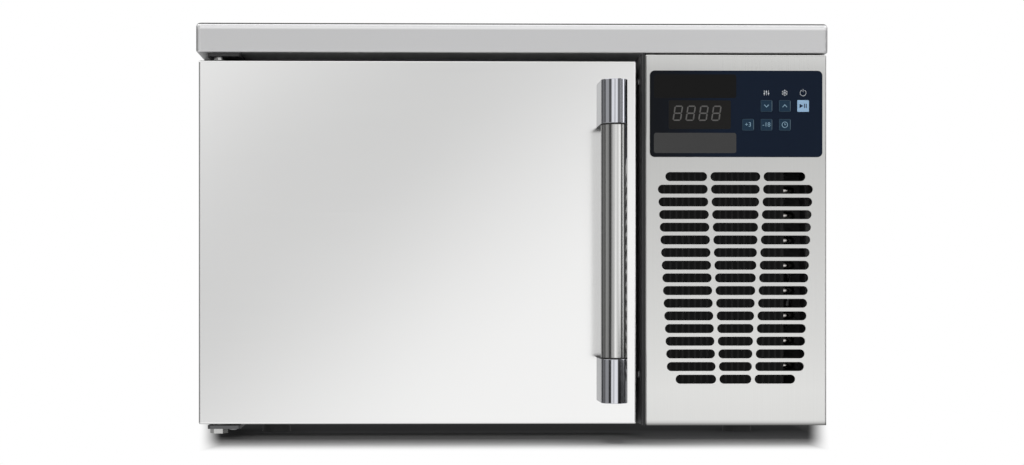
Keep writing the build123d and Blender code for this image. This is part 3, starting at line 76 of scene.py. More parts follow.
# A painted highlight on the lip close under its fold, by height
LIP_PAINTED_HIGHLIGHT = ((0.40, 1.0), (0.4256, 1.0), (0.4274, 1.42), (0.4288, 1.42), (0.43, 1.1), (0.433, 1.1))
# Painted reflection on the worktop's upright corners, by how far they face to the right
CORNER_PAINTED_REFLECTION = (
    (-1.0, 1.0), (-0.995, 1.0), (-0.98, 0.4), (-0.75, 0.4),
    (-0.6, 1.3), (-0.15, 1.3), (-0.05, 1.0), (1.0, 1.0),
)
# Painted reflection bands along the grip tube, by how far it faces to the right
TUBE_PAINTED_REFLECTION = (
    (-1.0, 0.4), (-0.79, 0.4), (-0.73, 0.76), (-0.5, 0.55), (-0.22, 0.45),
    (-0.06, 1.0), (0.12, 0.62), (0.3, 0.94), (0.41, 0.36), (0.48, 0.5),
    (0.55, 1.2), (0.62, 0.2), (0.73, 0.24), (0.82, 0.95), (1.0, 0.75),
)
# The grip's side toward the door: where it starts, by how far it faces along Y, and its painted grey level
# and painted glow, which stand in for the door's reflection there
GRIP_BACK = (0.05, 0.3)
GRIP_BACK_PAINTED_LEVEL = (0.2, 0.2, 0.2)
GRIP_BACK_PAINTED_GLOW = (0.62, 0.62, 0.62)
# Painted reflection bands along the handle's mounts, by how far they face to the right
MOUNT_PAINTED_REFLECTION = (
    (-1.0, 0.5), (-0.995, 0.5), (-0.985, 0.55), (-0.79, 0.55), (-0.73, 1.0), (0.12, 1.0),
    (0.165, 0.22), (0.385, 0.2), (0.41, 1.2), (0.63, 1.2), (0.67, 0.8), (1.0, 0.8),
)
# Painted light on the bay's trim: paler on its shaded side that looks at the door's edge
TRIM_PAINTED_LIGHT = ((-1.0, 6.0), (-0.7, 6.0), (-0.3, 1.0), (1.0, 1.0))
# A painted glint on the condenser's bends: bright only where they face the grille
BEND_PAINTED_GLINT = ((-1.0, 3.0), (-0.985, 3.0), (-0.93, 0.3), (1.0, 0.3))

# Fins from line to line, and the share of the overlay's width over which its print turns from dark to blue
FIN_LINES = 2.1 * MM
OVERLAY_TURN = 0.55

BLACK, WHITE = (0.0, 0.0, 0.0), (1.0, 1.0, 1.0)
OPAQUE_WHITE = (*WHITE, 1.0)

# A Mix node's colour sockets
MIX_FIRST, MIX_SECOND, MIX_RESULT = 6, 7, 2

# How brushed sheet runs: along the width, the depth or the height
ALONG_X, ALONG_Y, ALONG_Z = (1.0, 300.0, 300.0), (300.0, 1.0, 300.0), (300.0, 300.0, 1.0)


class Nodes:
    """Short calls for the nodes of a tree."""

    def make(self, kind, sockets=None, **settings):
        node = self.tree.nodes.new("ShaderNode" + kind)
        for key, value in settings.items():
            setattr(node, key, value)
        for key, value in (sockets or {}).items():
            self.feed(node.inputs[key], value)
        return node

    def feed(self, socket, value):
        if isinstance(value, bpy.types.NodeSocket):
            self.tree.links.new(value, socket)
        else:
            socket.default_value = value

    def blend(self, factor, first, second):
        """From one colour to another, by a factor."""
        mix = self.make("Mix", {"Factor": factor}, data_type="RGBA")
        for socket, colour in ((MIX_FIRST, first), (MIX_SECOND, second)):
            linked = isinstance(colour, bpy.types.NodeSocket)
            self.feed(mix.inputs[socket], colour if linked else (*colour, 1.0))
        return mix.outputs[MIX_RESULT]

    def ramp(self, value, stops):
        """Grey level by a value, straight between stops of (value, level)."""
        low, reach = stops[0][0], stops[-1][0] - stops[0][0]
        sockets = {"Value": value, "From Min": low, "From Max": low + reach}
        share = self.make("MapRange", sockets).outputs["Result"]
        node = self.make("ValToRGB", {"Fac": share})
        elements = node.color_ramp.elements
        while len(elements) < len(stops):
            elements.new(0.5)
        for element, (at, level) in zip(elements, stops):
            element.position = (at - low) / reach
            element.color = (level, level, level, 1.0)
        return node.outputs["Color"]

    def smooth(self, value, start, end):
        """From 0 at start to 1 at end, easing in and out."""
        sockets = {"Value": value, "From Min": start, "From Max": end}
        return self.make("MapRange", sockets, interpolation_type="SMOOTHSTEP").outputs["Result"]

    def tinted(self, colour, tone):
        """A colour multiplied by a grey level."""
        sockets = {"Factor": 1.0, MIX_FIRST: colour, MIX_SECOND: tone}
        return self.make("Mix", sockets, data_type="RGBA", blend_type="MULTIPLY").outputs[MIX_RESULT]

    def arithmetic(self, operation, first, second=0.0, third=0.0):
        return self.make("Math", {0: first, 1: second, 2: third}, operation=operation).outputs[0]


class Look(Nodes):
    """A material with one shader, and what feeds it."""

    def __init__(self, name):
        self.material = bpy.data.materials.new(name)
        self.material.use_nodes = True
        self.tree = self.material.node_tree
        self.shader = self.tree.nodes["Principled BSDF"]
        self.place = self.make("TexCoord").outputs["Object"]

    def set(self, **sockets):
        for key, value in sockets.items():
            self.feed(self.shader.inputs[key.replace("_", " ")], value)
        return self

    def stretched(self, stretch):
        return self.make("Mapping", {"Vector": self.place, "Scale": stretch}).outputs["Vector"]

    def noise(self, scale, stretch=(1, 1, 1), detail=3.0):
        sockets = {"Vector": self.stretched(stretch), "Scale": scale, "Detail": detail}
        return self.make("TexNoise", sockets).outputs[0]

    def cells(self, scale, output="Color", **settings):
        sockets = {"Vector": self.place, "Scale": scale}
        return self.make("TexVoronoi", sockets, **settings).outputs[output]

    def spread(self, value, low, high):
        """From low to high, as a value goes from 0 to 1."""
        sockets = {"Value": value, "To Min": low, "To Max": high}
        return self.make("MapRange", sockets).outputs["Result"]

    def axis(self, letter):
        """The place along X, Y or Z, in metres."""
        return self.make("SeparateXYZ", {"Vector": self.place}).outputs[letter]

    def facing(self, letter):
        """How far the piece's surface faces along X, Y or Z, from -1 to 1."""
        normal = self.make("TexCoord").outputs["Normal"]
        return self.make("SeparateXYZ", {"Vector": normal}).outputs[letter]

    def bump(self, height, depth, strength=1.0):
        sockets = {"Height": height, "Distance": depth, "Strength": strength}
        self.feed(self.shader.inputs["Normal"], self.make("Bump", sockets).outputs["Normal"])
        return self


def shade(colour, factor):
    return tuple(channel * factor for channel in colour)


# Painted light and shade: grey levels and a glow that vary over a piece
def panel_painted_light(look):
    """Painted reflection on the machine bay's panel: brighter towards its foot, with painted shade along the
    fold there.
    """
    return look.ramp(look.axis("Z"), PANEL_PAINTED_LIGHT)


def fold_painted_reflection(look):
    """Painted reflection on the worktop's front fold: darker along its crown and corners and paler beside
    them, with a painted highlight under the fold.
    """
    crown = look.ramp(look.facing("Z"), CROWN_PAINTED_REFLECTION)
    bent = look.tinted(crown, look.ramp(look.axis("Z"), LIP_PAINTED_HIGHLIGHT))
    fold = look.tinted(bent, look.ramp(look.facing("X"), CORNER_PAINTED_REFLECTION))
    return look.blend(look.smooth(look.facing("Y"), *FRONT_FOLD), WHITE, fold)


def facing_painted_light(letter, stops):
    """Painted light and shade by how far the surface faces along X, Y or Z."""
    return lambda look: look.ramp(look.facing(letter), stops)


def grip_painted_reflection(look):
    """Painted reflection bands by how far the grip faces to the right, and a dim painted level on its back.
    """
    bands = look.ramp(look.facing("X"), TUBE_PAINTED_REFLECTION)
    return look.blend(look.smooth(look.facing("Y"), *GRIP_BACK), bands, GRIP_BACK_PAINTED_LEVEL)


def grip_painted_glow(look):
    """A painted glow on the grip's back, standing in for the light it gets from the door close behind it."""
    return look.blend(look.smooth(look.facing("Y"), *GRIP_BACK), BLACK, GRIP_BACK_PAINTED_GLOW)


# Kinds of material
def steel(name, colour, roughness, along=ALONG_X, grain=0.06, depth=0.004 * MM, anisotropy=0.3, tone=None,
          painted_glow=None):
    """Brushed sheet: fine streaks along one axis, and wide soft blotches from wiping.

    tone gives painted light and shade as a grey level, and the last argument gives a painted glow that stands
    in for the light coming back off a bright sheet close by.
    """
    look = Look(name)
    streaks = look.noise(scale=9.0, stretch=along, detail=4.0)
    blotches = look.noise(scale=3.5, detail=2.0)
    wiped = look.spread(blotches, low=roughness * 0.85, high=roughness * 1.15)
    brushed = look.arithmetic("MULTIPLY", wiped, look.spread(streaks, low=0.85, high=1.15))
    sheet = look.blend(streaks, shade(colour, 1.0 - grain), shade(colour, 1.0 + grain))
    look.set(Base_Color=look.tinted(sheet, tone(look)) if tone else sheet)
    look.set(Metallic=1.0, Roughness=brushed, Anisotropic=anisotropy)
    if painted_glow:
        look.set(Emission_Color=painted_glow(look), Emission_Strength=1.0)
    return look.bump(streaks, depth, strength=0.6).material


def polished(name, colour, roughness, tone=None):
    """Bright metal with faint wiping haze; tone gives painted light and shade as a grey level."""
    look = Look(name)
    haze = look.noise(scale=40.0, detail=2.0)
    metal = look.blend(haze, shade(colour, 0.97), colour)
    look.set(Base_Color=look.tinted(metal, tone(look)) if tone else metal, Metallic=1.0)
    look.set(Roughness=look.spread(haze, low=roughness * 0.8, high=roughness * 1.3))
    return look.material


def galvanised(name, colour, roughness):
    """Zinc-coated sheet with its spangle of flat crystals."""
    look = Look(name)
    spangle = look.cells(scale=140.0)
    grey = look.make("RGBToBW", {"Color": spangle}).outputs["Val"]
    look.set(Base_Color=look.blend(grey, shade(colour, 0.85), shade(colour, 1.1)), Metallic=1.0)
    look.set(Roughness=look.spread(grey, low=roughness * 0.8, high=roughness * 1.25))
    return look.bump(look.noise(scale=60.0), depth=0.01 * MM, strength=0.4).material


def moulded(name, colour, roughness, texture=900.0, depth=0.03 * MM, contrast=0.15, shine=0.5, tone=None):
    """Moulded plastic or rubber with a fine spark texture; tone gives painted light and shade as a grey
    level.
    """
    look = Look(name)
    specks = look.noise(scale=texture, detail=2.0)
    cloud = look.noise(scale=12.0, detail=2.0)
    plastic = look.blend(cloud, shade(colour, 1.0 - contrast), shade(colour, 1.0 + contrast))
    look.set(Base_Color=look.tinted(plastic, tone(look)) if tone else plastic)
    look.set(Roughness=look.spread(specks, low=roughness * 0.85, high=roughness * 1.15))
    look.set(Specular_IOR_Level=shine)
    return look.bump(specks, depth, strength=0.5).material


def printed(name, colour, roughness=0.45, shine=0.15):
    """Screen-printed ink with a slight weave of the mesh."""
    look = Look(name)
    weave = look.noise(scale=1600.0, detail=1.0)
    look.set(Base_Color=look.blend(weave, shade(colour, 0.94), shade(colour, 1.06)))
    look.set(Roughness=look.spread(weave, low=roughness * 0.9, high=roughness * 1.1))
    look.set(Specular_IOR_Level=shine)
    return look.material


def overlay_film(name, dark, blue):
    """Fine-grained polycarbonate film over a navy print that deepens to one side."""
    look = Look(name)
    low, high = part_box("control_overlay")
    share = look.smooth(look.axis("X"), low.x, low.x + OVERLAY_TURN * (high.x - low.x))
    grain = look.noise(scale=1800.0, detail=1.0)
    tint = look.blend(share, dark, blue)
    look.set(Base_Color=look.blend(look.spread(grain, low=0.0, high=0.12), tint, shade(blue, 1.8)))
    look.set(Roughness=look.spread(grain, low=0.38, high=0.5), Specular_IOR_Level=0.12)
    return look.bump(grain, depth=0.004 * MM, strength=0.3).material


def foam(name, colour):
    """Rigid foam with open cells where it was cut."""
    look = Look(name)
    bubbles = look.cells(scale=420.0, output="Distance")
    look.set(Base_Color=look.blend(bubbles, shade(colour, 0.7), colour), Roughness=0.9)
    return look.bump(bubbles, depth=0.6 * MM, strength=0.6).material


def copper(name, bright, dull):
    """Drawn copper tube, bright and tarnished in patches."""
    look = Look(name)
    tarnish = look.noise(scale=25.0, detail=5.0)
    look.set(Base_Color=look.blend(look.spread(tarnish, low=-0.3, high=1.2), bright, dull))
    look.set(Metallic=1.0, Roughness=look.spread(tarnish, low=0.22, high=0.45))
    return look.material


def enamel(name, colour, roughness):
    """Sprayed black paint with orange peel."""
    look = Look(name)
    peel = look.noise(scale=220.0, detail=1.0)
    dust = look.noise(scale=30.0, detail=4.0)
    look.set(Base_Color=look.blend(dust, colour, shade(colour, 1.8)))
    look.set(Roughness=look.spread(dust, low=roughness, high=roughness * 1.6))
    return look.bump(peel, depth=0.05 * MM, strength=0.4).material


def fin_pack(name, colour, roughness, gap=0.35, depth=0.8 * MM, painted_glow=0.0):
    """Thin pressed fins, seen edge on as fine upright lines; gap sets the painted shade between them, and the
    last argument gives a painted glow that stands in for the light between them.
    """
    look = Look(name)
    phase = look.arithmetic("MULTIPLY", look.axis("X"), 2.0 * math.pi / FIN_LINES)
    edge = look.spread(look.arithmetic("SINE", phase), low=0.0, high=1.0)
    look.set(Base_Color=look.blend(edge, shade(colour, gap), colour), Metallic=0.6, Roughness=roughness)
    look.set(Emission_Color=OPAQUE_WHITE, Emission_Strength=painted_glow)
    return look.bump(edge, depth, strength=0.8).material


def board(name, mask, track):
    """Solder mask with lighter tracks."""
    look = Look(name)
    tracks = look.cells(scale=260.0, output="Distance", distance="MANHATTAN")
    look.set(Base_Color=look.blend(tracks, mask, track), Roughness=0.35)
    return look.material


# Materials: name, colour, roughness, and what sets each apart
DOOR_STEEL = steel("door_steel", (0.86, 0.86, 0.855), 0.17, grain=0.02, depth=0.002 * MM)
# The panel's steel carries painted reflection and painted shade by height
PANEL_STEEL = steel("panel_steel", (0.55, 0.55, 0.54), 0.30, along=ALONG_Z, grain=0.05, tone=panel_painted_light)
# The worktop's steel carries painted reflection on its front fold and a painted highlight under it
LIP_STEEL = steel("worktop_steel", (0.69, 0.69, 0.695), 0.5, grain=0.03, anisotropy=0.0, tone=fold_painted_reflection)
SIDE_STEEL = steel("side_steel", (0.70, 0.70, 0.69), 0.34, along=ALONG_Y)
LINER_STEEL = steel("liner_steel", (0.72, 0.72, 0.715), 0.30, along=ALONG_Y)
RACK_STEEL = steel("rack_steel", (0.68, 0.68, 0.68), 0.26, along=ALONG_Y)
ZINC = galvanised("galvanised_sheet_look", (0.55, 0.56, 0.57), 0.42)
# The grip tube's steel carries painted reflection bands and a painted glow on its back
TUBE_STEEL = steel(
    "handle_tube_steel", (0.82, 0.82, 0.81), 0.14, along=ALONG_Z, grain=0.03, anisotropy=0.0,
    tone=grip_painted_reflection, painted_glow=grip_painted_glow,
)
# The mounts' polish carries painted reflection bands
MOUNT_CHROME = polished("handle_mount_polish", (0.67, 0.68, 0.73), 0.08, tone=facing_painted_light("X", MOUNT_PAINTED_REFLECTION))
# Black trim with painted light on its side facing the door's edge
TRIM_PLASTIC = moulded(
    "bay_trim_plastic", (0.032, 0.032, 0.033), 0.5, shine=0.3, tone=facing_painted_light("X", TRIM_PAINTED_LIGHT),
)
# Black plastic made paler than it is, as painted light in the shaded gap beside the door
OPENING_PAINTED_LIGHT_PLASTIC = moulded("opening_frame_painted_light_plastic", (0.12, 0.12, 0.122), 0.5, shine=0.3)
SCREW_ZINC = galvanised("screw_zinc_look", (0.30, 0.30, 0.31), 0.35)
BLACK_PLASTIC = moulded("black_trim_plastic", (0.022, 0.022, 0.023), 0.5, shine=0.2)
BLACK_RUBBER = moulded("black_rubber_look", (0.018, 0.018, 0.018), 0.65, texture=500.0)
LINER_PLASTIC = moulded("door_liner_plastic_look", (0.62, 0.63, 0.63), 0.4)
OVERLAY = overlay_film("overlay_film_look", dark=(0.003, 0.0035, 0.0045), blue=(0.0045, 0.0105, 0.025))
LENS = moulded("display_lens_look", (0.0115, 0.0110, 0.0105), 0.3, depth=0.002 * MM, shine=0.12)
KEY_BLUE = moulded("key_slate_blue", (0.014, 0.036, 0.066), 0.45, depth=0.01 * MM, shine=0.15)
KEY_PALE = moulded("key_pale_blue", (0.37, 0.58, 0.82), 0.4, depth=0.01 * MM, contrast=0.04)
FOAM = foam("foam_look", (0.72, 0.60, 0.34))
COPPER = copper("copper_tube_look", bright=(0.78, 0.42, 0.27), dull=(0.38, 0.17, 0.10))
ALUMINIUM_FINS = fin_pack("aluminium_fins_look", (0.62, 0.63, 0.64), 0.35)
# Black fins with painted shade between them and a faint painted glow for the light there
DARK_FINS = fin_pack("dark_fins_look", (0.006, 0.006, 0.006), 0.7, gap=0.7, depth=0.1 * MM, painted_glow=0.0065)
COMPRESSOR_PAINT = enamel("compressor_paint_look", (0.012, 0.012, 0.013), 0.25)
FAN_PLASTIC = moulded("fan_plastic_look", (0.02, 0.02, 0.021), 0.5)
MOTOR_METAL = galvanised("motor_metal_look", (0.42, 0.42, 0.43), 0.45)
SHROUD_PLASTIC = moulded("shroud_plastic_look", (0.04, 0.04, 0.041), 0.5)
BOARD = board("circuit_board_look", mask=(0.015, 0.09, 0.035), track=(0.03, 0.17, 0.07))
DISPLAY_BODY = moulded("display_body_look", (0.03, 0.03, 0.03), 0.5)
NYLON = moulded("bush_nylon_look", (0.16, 0.16, 0.16), 0.45)
FASTENER = polished("fastener_steel_look", (0.62, 0.62, 0.61), 0.22)
# The bends are dark, with a painted glint where they face the grille
BENDS = polished("bend_steel_look", (0.26, 0.25, 0.24), 0.14, tone=facing_painted_light("Y", BEND_PAINTED_GLINT))
HINGE_BLACK = enamel("hinge_paint_look", (0.02, 0.02, 0.02), 0.45)
HINGE_ZINC = galvanised("hinge_zinc_look", (0.14, 0.14, 0.145), 0.4)

# The look of each material slot, and of the nodes that have one of their own
LOOKS = {
    "casing_stainless": SIDE_STEEL,
    "galvanised_sheet": ZINC,
    "liner_stainless": LINER_STEEL,
    "black_plastic": BLACK_PLASTIC,
    "door_liner_plastic": LINER_PLASTIC,
    "insulation_foam": FOAM,
    "black_rubber": BLACK_RUBBER,
    "handle_polished": MOUNT_CHROME,
    "handle_satin": TUBE_STEEL,
    "overlay_print": OVERLAY,
    "display_lens": LENS,
    "key_dark": KEY_BLUE,
    "key_light": KEY_PALE,
    "copper_tube": COPPER,
    "aluminium_fins": ALUMINIUM_FINS,
    "condenser_fins": DARK_FINS,
    "condenser_tubes": BENDS,
    "black_paint": COMPRESSOR_PAINT,
    "fan_plastic": FAN_PLASTIC,
    "motor_metal": MOTOR_METAL,
    "circuit_board": BOARD,
    "display_body": DISPLAY_BODY,
    "bush_nylon": NYLON,
    "fastener_steel": FASTENER,
}
NODE_LOOKS = {
    "door_outer_skin": DOOR_STEEL,
    "front_panel": PANEL_STEEL,
    "top_cover": LIP_STEEL,
    "pan_rack_left": RACK_STEEL,
    "pan_rack_right": RACK_STEEL,
    "bay_side_trim": TRIM_PLASTIC,
    "door_frame": OPENING_PAINTED_LIGHT_PLASTIC,
    "casing_screws": SCREW_ZINC,
    "condenser_shroud": SHROUD_PLASTIC,
    "upper_hinge_bracket": HINGE_BLACK,
    "lower_hinge_bracket": HINGE_ZINC,
}


def dress_nodes():
    """Each CAD node takes the look of its slot, or its own."""
    slot_of = {part["node"]: part["material_slot"] for part in frame["record"]["subparts"]}
    for name, piece in frame["nodes"].items():
        look = NODE_LOOKS.get(name) or LOOKS[slot_of[name]]
        for place in piece.material_slots:
            place.material = look


dress_nodes()


def finish_piece(mesh_data, name, body, look):
    """A piece of its own from mesh data, on its body and with its look."""
    mesh = bpy.data.meshes.new(name)
    bmesh.ops.recalc_face_normals(mesh_data, faces=mesh_data.faces)
    mesh_data.to_mesh(mesh)
    mesh_data.free()
    mesh.materials.append(look)
    piece = bpy.data.objects.new(name, mesh)
    bpy.context.scene.collection.objects.link(piece)
    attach(piece, body)
    return piece


# Flat printed shapes on faces that look toward -Y
def add_plate(mesh_data, outline, face_y, thickness=PRINT):
    """A closed thin plate over an outline of (x, z) points, standing proud of face_y."""
    back = [mesh_data.verts.new((x, face_y, z)) for x, z in outline]
    front = [mesh_data.verts.new((x, face_y - thickness, z)) for x, z in outline]
    mesh_data.faces.new(front)
    mesh_data.faces.new(back[::-1])
    for i in range(len(outline)):
        j = (i + 1) % len(outline)
        mesh_data.faces.new((back[i], back[j], front[j], front[i]))


def band_sides(points, width, closed):
    """The left and right edges of a band along (x, z) points, mitred where it bends."""
    mitre_limit = 0.3
    path = [Vector(point) for point in points]
    sides = []
    for i, point in enumerate(path):
        ahead = path[(i + 1) % len(path)] if closed or i + 1 < len(path) else None
        behind = path[i - 1] if closed or i > 0 else None
        steps = ((behind, point), (point, ahead))
        runs = [(end - start).normalized() for start, end in steps if start is not None and end is not None]
        along = sum(runs, Vector((0.0, 0.0))).normalized()
        across = Vector((-along.y, along.x))
        mitre = max(across.dot(Vector((-runs[0].y, runs[0].x))), mitre_limit)
        reach = across * (0.5 * width / mitre)
        sides.append((point + reach, point - reach))
    return sides


def add_band(mesh_data, points, width, face_y, closed=False, thickness=PRINT):
    """A closed thin band of even width along (x, z) points, standing proud of face_y."""
    front_y = face_y - thickness
    rows = []
    for left, right in band_sides(points, width, closed):
        corners = ((left, face_y), (left, front_y), (right, front_y), (right, face_y))
        rows.append([mesh_data.verts.new((point.x, y, point.y)) for point, y in corners])
    count = len(rows) if closed else len(rows) - 1
    for i in range(count):
        first, second = rows[i], rows[(i + 1) % len(rows)]
        for k in range(len(first)):
            j = (k + 1) % len(first)
            mesh_data.faces.new((first[k], first[j], second[j], second[k]))
    if not closed:
        mesh_data.faces.new(rows[0])
        mesh_data.faces.new(rows[-1][::-1])


def heading(angle):
    """One step in the direction of an angle from +X toward +Z."""
    return Vector((math.cos(angle), math.sin(angle)))


def arc(centre, radius, start, end, steps):
    """Points along an arc, angles in degrees from +X toward +Z."""
    angles = [math.radians(start + (end - start) * i / steps) for i in range(steps + 1)]
    return [(centre[0] + radius * math.cos(a), centre[1] + radius * math.sin(a)) for a in angles]


def circle(centre, radius, steps):
    """Points round a full circle."""
    return arc(centre, radius, 0, 360, steps)[:-1]


def rounded(low, high, radius, steps=6):
    """Outline of a rectangle with round corners."""
    corners = (
        ((high[0], high[1]), 0), ((low[0], high[1]), 90), ((low[0], low[1]), 180), ((high[0], low[1]), 270),
    )
    points = []
    for (x, z), start in corners:
        inward = (radius if x == low[0] else -radius, radius if z == low[1] else -radius)
        points += arc((x + inward[0], z + inward[1]), radius, start, start + 90, steps)
    return points


# Inks
INK_WHITE = printed("ink_white", (0.66, 0.70, 0.74))
INK_BLUE = printed("ink_pale_blue", (0.30, 0.47, 0.60))
INK_NAVY = printed("ink_navy", (0.012, 0.022, 0.05))
INK_GREY = printed("ink_grey", (0.062, 0.062, 0.062))
INK_BLACK = printed("ink_black", (0.0035, 0.0035, 0.0035))
INK_SEGMENT = printed("segment_grey", (0.135, 0.132, 0.128))
INK_RIM = printed("key_rim_blue", (0.04, 0.072, 0.105))
# A painted highlight on each dark key's right side, laid on like an ink
KEY_PAINTED_HIGHLIGHT = printed("key_painted_highlight_blue", (0.10, 0.155, 0.20))

# The overlay's block and bar: margin, corners, gaps to the display, and the share of the width where they end
PRINT_MARGIN, PRINT_CORNER = 4.0 * MM, 2.5 * MM
WINDOW_GAP, BAR_GAP = 1.2 * MM, 1.5 * MM
PRINT_SHARE = 0.50

# The display's digits, the gap between segments in strokes, and their middle from the window's middle
DIGITS = 4
DIGIT_WIDTH, DIGIT_HEIGHT, DIGIT_PITCH = 7.6 * MM, 14.6 * MM, 13.4 * MM
DIGIT_STROKE, DIGIT_GAP, DIGIT_LEAN = 1.4 * MM, 0.4, 0.15
DIGITS_LEFT, DIGITS_UP = 2.8 * MM, 1.5 * MM

# Rims of the dark keys, and a painted highlight along each one's right side
RIM_HALF, RIM_WIDTH, RIM_CORNER, RIM_STEPS = 5.7 * MM, 0.5 * MM, 0.8 * MM, 3
PAINTED_HIGHLIGHT_WIDTH, PAINTED_HIGHLIGHT_THICKNESS = 0.7 * MM, 1.3 * PRINT

# Signs on the keys
CHEVRON_WING, CHEVRON_RISE, CHEVRON_STROKE = 2.3 * MM, 1.2 * MM, 0.75 * MM
START_LEFT, START_LENGTH, START_HALF = 3.8 * MM, 3.9 * MM, 2.25 * MM
PAUSE_STEPS, PAUSE_WIDTH = (1.4 * MM, 3.2 * MM), 0.9 * MM
CLOCK_RADIUS, CLOCK_STROKE, CLOCK_STEPS = 2.9 * MM, 0.6 * MM, 32
MINUTE_HAND, HOUR_HAND = 1.9 * MM, 1.4 * MM
NUMBERS = {"key_chill": "+3", "key_freeze": "-18"}
NUMBER_SIZE = 6.4 * MM

# Signs over the top row of keys: each slider's step and its knob's height, the snowflake's arms with their
# twigs, and the power mark's ring and bar
ICON_RISE, ICON_STROKE = 13.7 * MM, 0.45 * MM
SLIDERS = ((-2.2 * MM, -0.8 * MM), (0.0, 1.0 * MM), (2.2 * MM, -0.8 * MM))
SLIDER_HALF = 2.6 * MM
KNOB_RADIUS, KNOB_STEPS, KNOB_THICKNESS = 0.8 * MM, 12, 1.2 * PRINT
FLAKE_ARMS, FLAKE_REACH, FLAKE_TURN, FLAKE_LAYER = 3, 3.2 * MM, math.radians(30), 0.1 * PRINT
TWIG_PLACE, TWIG_LENGTH, TWIG_TURN, TWIG_STROKE = 0.62, 1.2 * MM, math.radians(50), 0.9 * ICON_STROKE
POWER_RADIUS, POWER_STEPS = 3.1 * MM, 30
POWER_ANGLES = (120, 420)
POWER_BAR = (0.8 * MM, 3.9 * MM)

# The handle's finer pieces
GRIP_SIDES = 96
GRIP_WALL = 1.5 * MM
MOUNT_LENGTH = 45.0 * MM
MOUNT_EDGE, MOUNT_EDGE_STEPS = 0.6 * MM, 4
MOUNT_HOLD = 0.05 * MM

overlay_low, overlay_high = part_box("control_overlay")
OVERLAY_FACE = overlay_low.y
DARK_KEYS = ("key_up", "key_down", "key_mode", "key_freeze", "key_chill")


def middle_of(node):
    low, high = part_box(node)
    return (low + high) / 2


def face_of(node):
    """Where a node's front face lies along Y."""
    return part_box(node)[0].y


def overlay_print():
    """A dark block over the display and a plain grey bar under it, as the overlay's own ground."""
    window_low, window_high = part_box("display_window")
    left = overlay_low.x + PRINT_MARGIN
    right = overlay_low.x + PRINT_SHARE * (overlay_high.x - overlay_low.x)
    block_low = (left, window_high.z + WINDOW_GAP)
    block_high = (right, overlay_high.z - PRINT_MARGIN)
    dark = bmesh.new()
    add_plate(dark, rounded(block_low, block_high, PRINT_CORNER), OVERLAY_FACE)
    finish_piece(dark, "overlay_dark_block", "cabinet", INK_BLACK)
    bar_low = (left, overlay_low.z + PRINT_MARGIN)
    bar_high = (right, window_low.z - WINDOW_GAP - BAR_GAP)
    bar = bmesh.new()
    add_plate(bar, rounded(bar_low, bar_high, PRINT_CORNER), OVERLAY_FACE)
    finish_piece(bar, "overlay_grey_bar", "cabinet", INK_GREY)


def segment(centre, length, width, upright):
    """A six-sided display segment about its middle."""
    half, tip = length / 2, width / 2
    shape = [
        (-half, 0), (-half + tip, tip), (half - tip, tip),
        (half, 0), (half - tip, -tip), (-half + tip, -tip),
    ]
    if upright:
        shape = [(-z, x) for x, z in shape]
    return [(centre[0] + x, centre[1] + z) for x, z in shape]


def digit_segments(x, base):
    """Outlines of a digit's three lying and four upright segments, before it leans."""
    gap = DIGIT_GAP * DIGIT_STROKE
    outlines = []
    for level in (-1, 0, 1):
        centre = (x, base + level * DIGIT_HEIGHT / 2)
        outlines.append(segment(centre, DIGIT_WIDTH - gap, DIGIT_STROKE, upright=False))
    for side in (-1, 1):
        for level in (-1, 1):
            centre = (x + side * DIGIT_WIDTH / 2, base + level * DIGIT_HEIGHT / 4)
            outlines.append(segment(centre, DIGIT_HEIGHT / 2 - gap, DIGIT_STROKE, upright=True))
    return outlines


def display_digits():
    """Four unlit seven-segment digits, leaning to the right."""
    window, face = middle_of("display_window"), face_of("display_window")
    first = window.x - DIGIT_PITCH * (DIGITS - 1) / 2 - DIGITS_LEFT
    base = window.z + DIGITS_UP
    mesh_data = bmesh.new()
    for digit in range(DIGITS):
        for outline in digit_segments(first + DIGIT_PITCH * digit, base):
            add_plate(mesh_data, [(x + DIGIT_LEAN * (z - base), z) for x, z in outline], face)
    finish_piece(mesh_data, "display_digits", "cabinet", INK_SEGMENT)


def key_rims():
    """A paler line round each dark key's face, and a painted highlight along its right side."""
    for node in DARK_KEYS:
        centre, face = middle_of(node), face_of(node)
        low = (centre.x - RIM_HALF, centre.z - RIM_HALF)
        high = (centre.x + RIM_HALF, centre.z + RIM_HALF)
        rim = bmesh.new()
        add_band(rim, rounded(low, high, RIM_CORNER, RIM_STEPS), RIM_WIDTH, face, closed=True)
        finish_piece(rim, node + "_rim", node + "_cap", INK_RIM)
        painted_highlight = bmesh.new()
        ends = [(high[0], low[1] + RIM_CORNER), (high[0], high[1] - RIM_CORNER)]
        add_band(painted_highlight, ends, PAINTED_HIGHLIGHT_WIDTH, face, thickness=PAINTED_HIGHLIGHT_THICKNESS)
        finish_piece(painted_highlight, node + "_painted_highlight", node + "_cap", KEY_PAINTED_HIGHLIGHT)


def key_chevrons():
    """Arrowheads that point up and down."""
    for node, turn in (("key_up", 1), ("key_down", -1)):
        centre, face = middle_of(node), face_of(node)
        foot, head = centre.z - CHEVRON_RISE * turn, centre.z + CHEVRON_RISE * turn
        points = [(centre.x - CHEVRON_WING, foot), (centre.x, head), (centre.x + CHEVRON_WING, foot)]
        mesh_data = bmesh.new()
        add_band(mesh_data, points, CHEVRON_STROKE, face)
        finish_piece(mesh_data, node + "_chevron", node + "_cap", INK_BLUE)


